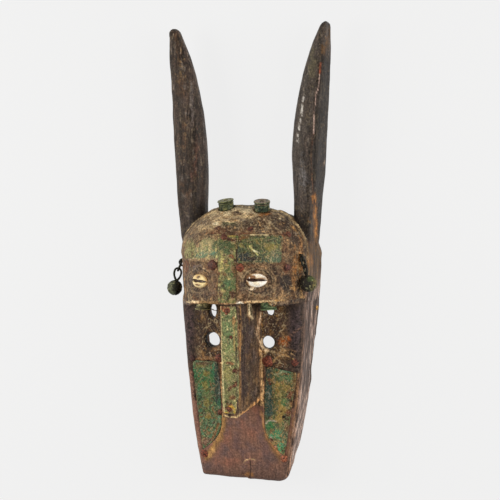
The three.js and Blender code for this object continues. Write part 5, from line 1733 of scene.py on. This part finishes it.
for index, (name, (outline, surface, lift, cells, material, slot_name, coat_of)) in enumerate(SHEETS.items()):
    body = sheet_body(outline, surface, lift, 500 + 20 * index, cells, (1 / cells[0], 1 / cells[1]))
    painted(name + "_beaten", body, material, slot_name, name, coat_of)


# Nails: squat hammered heads, eaten by rust.
def nose_surface(x, y):
    return nose_front_z(y) + 0 * x


def surface_of_nail(name):
    if "nose" in name:
        return nose_surface
    return face_surface if "cheek" in name else vault_z


def nail_coat(tone, light):
    def coat_of(points, normals):
        coat = Coat(points, normals, tone, 440 + int(points[0, 0] + points[0, 1]) % 97)
        coat.veil(light, 1, 2.4, 0.0, 0.5, 0.8)
        coat.veil((40, 24, 24), 1, 2.0, 0.1, 0.5, 0.7)
        return coat

    return coat_of


NAIL_TONES = {
    "nail_cheek_left_outer": ((66, 42, 38), (92, 58, 50)),
    "nail_cheek_left_inner": ((104, 58, 44), (150, 94, 76)),
    "nail_cheek_right_inner": ((126, 68, 52), (166, 100, 78)),
    "nail_cheek_right_outer": ((104, 58, 46), (138, 82, 64)),
    "nail_cheek_right_bottom": ((128, 74, 52), (176, 112, 84)),
    "nail_cheek_left_bottom": ((108, 58, 42), (146, 88, 68)),
    "nail_band_lower_right": ((110, 58, 40), (134, 76, 50)),
    "nail_band_lower_left": ((80, 48, 38), (110, 70, 52)),
    "nail_band_far_right_bottom": ((88, 52, 46), (112, 68, 56)),
    "nail_crown_left": ((92, 62, 44), (124, 88, 62)),
}
for index, (name, (middle, radius)) in enumerate(NAIL_PLACES.items()):
    radius *= 1.35 if "cheek" in name else 1.05
    surface = surface_of_nail(name)
    x, y = np.float64(middle[0]), np.float64(middle[1])
    seat = np.array([x, y, surface(x, y)])
    facing = normal_of(surface, x, y)
    bed = 0.7 if "nose" in name or "strip" in name or "band" in name else 0.1
    tall = 1.0 + 0.16 * radius
    profile = [(0, -2.5), (radius * 0.35, -2.5), (radius * 0.6, -1.2)]
    profile += [(radius * 0.97, bed - 0.5), (radius * 1.02, bed)]
    profile += [(radius * math.cos(a), bed + tall * math.sin(a)) for a in np.linspace(0.25, 1.35, 7)]
    profile += [(0.01, bed + tall)]
    body = turned(profile, 30, seat, facing, 0.22, 600 + 11 * index)
    tones = NAIL_TONES.get(name, ((90, 52, 38), (116, 72, 50)))
    painted(name + "_rusted", body, NAIL_METAL, "rusty_iron", name, nail_coat(*tones))


# Cowrie shells: an oval dome split along its length by a toothed mouth.
def cowrie_body(name, bite, open_width, narrowing, seed):
    x, y = COWRIES[name]
    place = np.array([x, y, vault_z(np.float64(x), np.float64(y))])
    outward = normal_of(vault_z, np.float64(x), np.float64(y))
    along = np.array([1.0, 0, 0]) - outward[0] * outward
    along /= np.linalg.norm(along)
    upward = np.cross(outward, along)
    around, rows = 84, 34
    angle = np.arange(around) * 2 * math.pi / around
    share_out = np.linspace(0, 1, rows) ** 0.75
    a = share_out[:, None] * np.cos(angle) * 13.5
    b = share_out[:, None] * np.sin(angle) * 9.0
    b = b * (1 - 0.13 * a / 13.5)
    dome = 6.3 * np.maximum(1 - share_out[:, None] ** 2.6, 0) ** 0.5 + 0 * a
    mouth_middle = 0.5 * np.sin(a / 6.5) + bite - 0.07 * a
    off = np.abs(b - mouth_middle)
    width = open_width * np.sqrt(np.maximum(1 - (a / 13.6) ** 2, 0.12)) * (1 - narrowing * a / 13.5)
    width = width * (1 - 0.3 * np.exp(-(((a - 1) / 3) ** 2)))
    mouth = np.exp(-((off / np.maximum(width, 0.3)) ** 4))
    teeth = np.exp(-(((off - width - 1.4) / 1.5) ** 2)) * (0.5 + 0.5 * np.sin(a * 2 * math.pi / 1.9))
    lip = np.exp(-(((off - width - 1.8) / 2.2) ** 2))
    on_back = smooth(dome, 1, 4)
    height = dome - 4.0 * mouth * smooth(dome, 1.5, 4) + 0.5 * lip * on_back - 0.55 * teeth * on_back
    flat = np.stack([a.ravel(), b.ravel(), 0 * a.ravel()], -1)
    height = height + 0.18 * noise(flat, 3.0, seed, 2).reshape(a.shape)
    top = place + a[..., None] * along + b[..., None] * upward + (height[..., None] - 1.2) * outward
    skirt = top[-1] - 1.2 * outward
    rings = np.concatenate([top, skirt[None]])
    points, faces = closed_tube(rings[::-1].copy())
    edge_ring = np.stack([a[-1], b[-1], 0 * a[-1]], -1)[None]
    local = np.concatenate([flat.reshape(rows, around, 3), edge_ring])[::-1].reshape(-1, 3)
    local = np.concatenate([local, [[0, 0, 0], [0, 0, 0]]])
    hollow = np.concatenate([mouth, np.zeros((1, around))])[::-1].ravel()
    hollow = np.concatenate([hollow, [0, 1]])
    return (points, faces), local, hollow


def coat_cowrie(local, hollow, base, stain, dirt, seed):
    def coat_of(points, normals):
        coat = Coat(points, normals, base, seed)
        coat.fleck((196, 152, 92), 1, 0.16)
        a, b = local[:, 0], local[:, 1]
        coat.veil(stain, 1, 5, 0.1, 0.5, 0.6, 2)
        coat.lay((176, 128, 74), smooth(np.hypot(a / 13.5, b / 9), 0.86, 1.0) * 0.7)
        soiled = 1.3 * dirt(a, b) * smooth(coat.rough_edge + 0.5, 0, 0.5)
        coat.lay((126, 86, 50), soiled)
        coat.lay((70, 52, 34), soiled * coat.dark_crumbs)
        coat.lay((50, 26, 17), smooth(hollow, 0.2, 0.7))
        return coat

    return coat_of


SHELL_SKIN = metal_material("shell", 0.0, 0.34, 0.12, 1.8, 0.5, 0.3)


def left_dirt(a, b):
    above = np.exp(-(((a - 2) / 2.4) ** 2 + ((b - 5.5) / 1.6) ** 2))
    return above + np.exp(-((a / 3.5) ** 2 + ((b + 4.5) / 1.2) ** 2))


def right_dirt(a, b):
    upper = 1.4 * smooth(-a, 0.5, 5) * smooth(b, -0.5, 1) * smooth(7.5 - b, 0, 2)
    return upper + smooth(-a, 10, 12) + np.exp(-(((a - 4) / 7) ** 2 + ((b - 2.6) / 1.3) ** 2)) * 0.9


# Bite, width and narrowing of the mouth, the shell's seeds, its tones and its dirt.
SHELLS = {
    "left": ((0.3, 2.1, 0.15, 700), (246, 224, 168), (206, 160, 88), left_dirt, 710),
    "right": ((0.6, 1.8, 0.45, 720), (252, 248, 240), (232, 214, 178), right_dirt, 730),
}
for side, (mouth, base, stain, dirt, seed) in SHELLS.items():
    node = f"cowrie_eye_{side}"
    body, local, hollow = cowrie_body(node, *mouth)
    coat_of = coat_cowrie(local, hollow, base, stain, dirt, seed)
    painted(f"cowrie_{side}_shell", body, SHELL_SKIN, "cowrie_shell", node, coat_of)


# Cartridge heads: a dented cup with a rim, a groove under it and a struck primer.
def cartridge_body(place, heading, seed):
    body, rim, tall, wall = 9.9, 10.75, 13.0, 1.1
    cup = [(0.01, tall - 2.6), (body - wall, tall - 2.6), (body - wall, 0.2), (body - 0.5, 0.0), (body, 0.5)]
    side = [(body, h) for h in np.linspace(1.5, tall - 4.4, 7)]
    ridge = [(body + 0.35, tall - 4.0), (body + 0.35, tall - 3.5)]
    groove = [(body - 0.7, tall - 3.0), (body - 0.9, tall - 2.3)]
    rim_side = [(rim - 0.3, tall - 1.7), (rim, tall - 1.3), (rim, tall - 0.7), (rim - 0.4, tall - 0.15)]
    rim_top = [(rim - 1.1, tall), (rim - 2.6, tall - 0.1), (rim - 3.2, tall - 0.45)]
    base = [(7.0, tall - 0.5), (4.6, tall - 0.35), (3.6, tall - 0.2)]
    primer = [(3.1, tall - 0.5), (2.9, tall - 1.1), (1.6, tall - 1.5), (0.01, tall - 1.5)]
    profile = cup + side + ridge + groove + rim_side + rim_top + base + primer
    return turned(profile, 56, np.array(place, float), heading, 0.055, seed)


def coat_cartridge(tone, light, dark, top, seed, place, heading):
    axis = np.array(heading) / np.linalg.norm(heading)

    def coat_of(points, normals):
        coat = Coat(points, normals, tone, seed)
        up = (points - place) @ axis
        reach = np.sqrt(np.maximum(((points - place) ** 2).sum(1) - up**2, 0))
        coat.veil(light, 1, 3.5, 0.0, 0.5, 0.85)
        coat.veil(dark, 1, 3.0, 0.1, 0.5, 0.9)
        coat.lay((168, 152, 102), coat.light_crumbs * 0.4)
        # Painted shade in the groove under the rim.
        coat.lay(dark, np.exp(-(((up - 10.4) / 0.8) ** 2)) * 0.9)
        coat.lay(top, smooth((normals * axis).sum(1), 0.4, 0.9) * 0.9 * (0.6 + 0.6 * coat.rough_edge))
        coat.lay((60, 40, 34), (1 - smooth(reach, 2.4, 3.3)) * smooth(up, 10.5, 11.2) * 0.8)
        coat.lay(light, np.exp(-(((reach - 10.3) / 0.5) ** 2)) * smooth(up, 11.6, 12.4) * 0.7)
        return coat

    return coat_of


CARTRIDGE_TONES = {
    "cartridge_crown_left": ((60, 68, 46), (124, 122, 78), (24, 28, 20), (150, 144, 98)),
    "cartridge_crown_right": ((50, 64, 50), (118, 118, 84), (20, 26, 22), (162, 124, 98)),
    "cartridge_brow_left": ((112, 106, 74), (164, 152, 104), (44, 42, 28), (118, 110, 82)),
    "cartridge_brow_right": ((96, 118, 82), (150, 162, 116), (42, 56, 42), (112, 122, 90)),
}
for index, (name, (place, heading)) in enumerate(CARTRIDGES.items()):
    tones = CARTRIDGE_TONES[name]
    body = cartridge_body(place, heading, 800 + 20 * index)
    coat_of = coat_cartridge(*tones, 810 + 20 * index, np.array(place, float), heading)
    painted(name + "_worn", body, CARTRIDGE_METAL, "cartridge_brass", name, coat_of)


# Bells: a slit ball on a loop of wire, held by a link in a staple.
STAPLE_RADIUS, WIRE = 4.2, 1.3
LINK_TOP, LINK_LENGTH, LINK_HALF_WIDTH, LINK_TOP_OUT, LOOP_OUT = 1.6, 13.5, 2.9, 2.3, 5.6
BELLS = {
    "left": ((-87.0, 43.6, 57), (-92.2, 8.2, 58), 5.9, 35.2, 10.1, 0.9),
    "right": ((80.6, 55.5, 71), (86.2, 20, 68), 3.4, 33.6, 10.9, 2.2),
}


def bell_axes(anchor, ball):
    anchor, ball = np.array(anchor, float), np.array(ball, float)
    up = (anchor - ball) / np.linalg.norm(anchor - ball)
    away = np.array([anchor[0], 0, anchor[2] - VAULT_CENTRE_Z])
    away /= np.linalg.norm(away)
    out = away - (away @ up) * up
    out /= np.linalg.norm(out)
    return np.stack([out, up, np.cross(out, up)]), anchor


def ball_body(radius, slit_turn, seed):
    """A hollow ball round the origin, cut open by a slit across its lower half, as an even grid."""
    cell, far = 0.55, 12.65
    span = np.arange(-far, far + 0.1, cell, dtype=np.float32)
    a, b, c = span[:, None, None], span[None, :, None], span[None, None, :]
    reach = np.sqrt(a**2 + b**2 + c**2)
    points = np.stack(np.broadcast_arrays(a, b, c), -1).reshape(-1, 3)
    rough = noise(points, 3.0, seed, 3).reshape(reach.shape)
    outer = reach - radius + 0.6 * rough + 0.35 * np.exp(-((b / 0.9) ** 2))
    shell = round_max(outer, radius - 1.8 - reach, 0.4)
    across = c * math.cos(slit_turn) - a * math.sin(slit_turn)
    slit = np.maximum(np.abs(across) - 1.1 - 0.15 * rough, b + 2.2)
    shell = round_max(shell, -slit, 0.4)
    shell = round_max(shell, 2.3 - np.hypot(across, b + 4.5), 0.4)
    grid = openvdb.FloatGrid()
    grid.background = 3.0
    grid.copyFromArray(np.ascontiguousarray(np.clip(shell, -3, 3), dtype=np.float32))
    found, triangles, quads = grid.convertToPolygons(isovalue=0.0, adaptivity=0.01)
    found = np.asarray(found, float) * cell - far
    return found, [tuple(f) for f in np.asarray(triangles, int).tolist() + np.asarray(quads, int).tolist()]


# Columns of the photograph where a bell is lit and where it lies in shade, and moss on the right one.
BELL_LEFT_LIT, BELL_LEFT_SHADE = 175, (175, 179)
BELL_RIGHT_LIT, BELL_RIGHT_SHADE, BELL_RIGHT_MOSS = (308, 312), 309, (310.5, 279, 5, 3)


def bell_coat(side, seed):
    def coat_of(points, normals):
        coat = Coat(points, normals, (44, 46, 34), seed)
        coat.veil((78, 86, 62), 1, 4, 0.0, 0.5, 0.7)
        coat.veil((24, 20, 16), 1, 3, 0.05, 0.5, 0.8)
        if side == "left":
            coat.lay((116, 122, 94), smooth(BELL_LEFT_LIT - coat.u + 2 * coat.broad, -1, 5) * 0.6)
            coat.lay((26, 20, 14), smooth(coat.u + coat.broad, *BELL_LEFT_SHADE) * 0.7)
        else:
            coat.lay((102, 92, 52), smooth(coat.u + 3 * coat.broad, *BELL_RIGHT_LIT) * 0.9)
            coat.lay((34, 27, 24), smooth(BELL_RIGHT_SHADE - coat.u + 2 * coat.broad, -1, 3) * 0.8)
            coat.patch((70, 84, 46), *BELL_RIGHT_MOSS, 0.8, 1.0)
        coat.lay((22, 18, 13), coat.dark_crumbs * 0.5)
        coat.lay((150, 148, 108), coat.light_crumbs * 0.6)
        return coat

    return coat_of


def wire_coat(tone, seed):
    def coat_of(points, normals):
        coat = Coat(points, normals, tone, seed)
        coat.veil((72, 74, 52), 1, 2.5, 0.1, 0.5, 0.6)
        return coat

    return coat_of


for index, (side, (anchor, ball, half, chain, radius, slit_turn)) in enumerate(BELLS.items()):
    seed = 900 + 40 * index
    rows, anchor = bell_axes(anchor, ball)
    loop_top, loop_bottom = LINK_TOP - LINK_LENGTH + 3.1, -chain + radius - 0.8

    def staple_route(s):
        angle = mix(-math.pi / 2 - 0.9, math.pi / 2 + 0.9, s)
        return np.array([0.9 + STAPLE_RADIUS * math.cos(angle), STAPLE_RADIUS * math.sin(angle), 0])

    def link_route(s):
        angle = s * 2 * math.pi
        lift = (1 + math.cos(angle)) / 2
        height = LINK_TOP - LINK_LENGTH / 2 + LINK_LENGTH / 2 * math.cos(angle)
        return np.array([mix(LOOP_OUT, LINK_TOP_OUT, lift), height, LINK_HALF_WIDTH * math.sin(angle)])

    def loop_route(s):
        angle = s * 2 * math.pi
        lift = (1 + math.cos(angle)) / 2
        return np.array([LOOP_OUT + half * math.sin(angle) * lift**0.4, mix(loop_bottom, loop_top, lift), 0])

    staple = wire(staple_route, WIRE, 26, False, seed + 1)
    link = wire(link_route, WIRE * 1.1, 44, True, seed + 2)
    loop = wire(loop_route, WIRE * 1.1, 60, True, seed + 3)
    ball_points, ball_faces = ball_body(radius, slit_turn, seed + 4)
    ball_points = ball_points + (LOOP_OUT + 1, -chain, 0)
    whole = {
        "": join([(ball_points, ball_faces), closed_tube(*loop)]),
        "_link": closed_tube(*link),
        "_staple": closed_tube(*staple),
    }
    for ending, (local, faces) in whole.items():
        body = (anchor + local @ rows, faces)
        coat_of = wire_coat((34, 32, 26), seed + 9) if ending else bell_coat(side, seed + 6)
        painted(f"bell_{side}{ending}_aged", body, BELL_METAL, "bell_metal", f"bell_{side}{ending}", coat_of)

# The pale peg in the right wall.
low, high = box_mm("side_peg_right")
peg_place = np.array([low[0], (low[1] + high[1]) / 2, (low[2] + high[2]) / 2])
PEG = metal_material("peg_wood", 0.0, 0.6, 0.5, 1.6, 0.3)
peg_length = high[0] - low[0]
profile = [(0.01, 0), (1.5, 0), (1.6, peg_length * 0.5), (2.9, peg_length - 2.3), (3.0, peg_length - 1.4)]
profile += [(2.6, peg_length - 0.7), (1.7, peg_length - 0.25), (0.01, peg_length)]
body = turned(profile, 20, peg_place, (1, 0, 0.1), 0.12, 995)


def peg_coat(points, normals):
    return Coat(points, normals, (176, 132, 66), 990)


painted("side_peg_whittled", body, PEG, "pale_peg", "side_peg_right", peg_coat)


floor_mesh = bpy.data.meshes.new("floor")
floor_mesh.from_pydata([(-3, -3, 0), (3, -3, 0), (3, 3, 0), (-3, 3, 0)], [], [(0, 1, 2, 3)])
floor = bpy.data.objects.new("floor", floor_mesh)
bpy.context.scene.collection.objects.link(floor)
floor_material = bpy.data.materials.new("floor")
floor_material.use_nodes = True
shader = floor_material.node_tree.nodes["Principled BSDF"]
shader.inputs["Base Color"].default_value = (0.07, 0.072, 0.075, 1)
shader.inputs["Roughness"].default_value = 0.9
shader.inputs["Specular IOR Level"].default_value = 0.0
shader.inputs["Emission Color"].default_value = (1, 1, 1, 1)
shader.inputs["Emission Strength"].default_value = 0.8
floor_mesh.materials.append(floor_material)


def area_light(name, place, size, power):
    data = bpy.data.lights.new(name, "AREA")
    data.shape = "RECTANGLE"
    data.size, data.size_y = size
    data.energy = power
    data.color = (1.0, 0.95, 0.87)
    light = bpy.data.objects.new(name, data)
    light.location = place
    light.rotation_euler = (-Vector(place)).to_track_quat("-Z", "Y").to_euler()
    bpy.context.scene.collection.objects.link(light)


area_light("softbox_left", (-1.3, 0.2, 1.0), (0.9, 1.4), 22)
area_light("softbox_right", (1.5, 0.2, 0.8), (0.9, 1.4), 22)
world = bpy.data.worlds.new("world")
bpy.context.scene.world = world
world.use_nodes = True
world.node_tree.nodes["Background"].inputs["Color"].default_value = (1, 0.97, 0.93, 1)
world.node_tree.nodes["Background"].inputs["Strength"].default_value = 0.35

bpy.context.scene.view_settings.view_transform = "Standard"
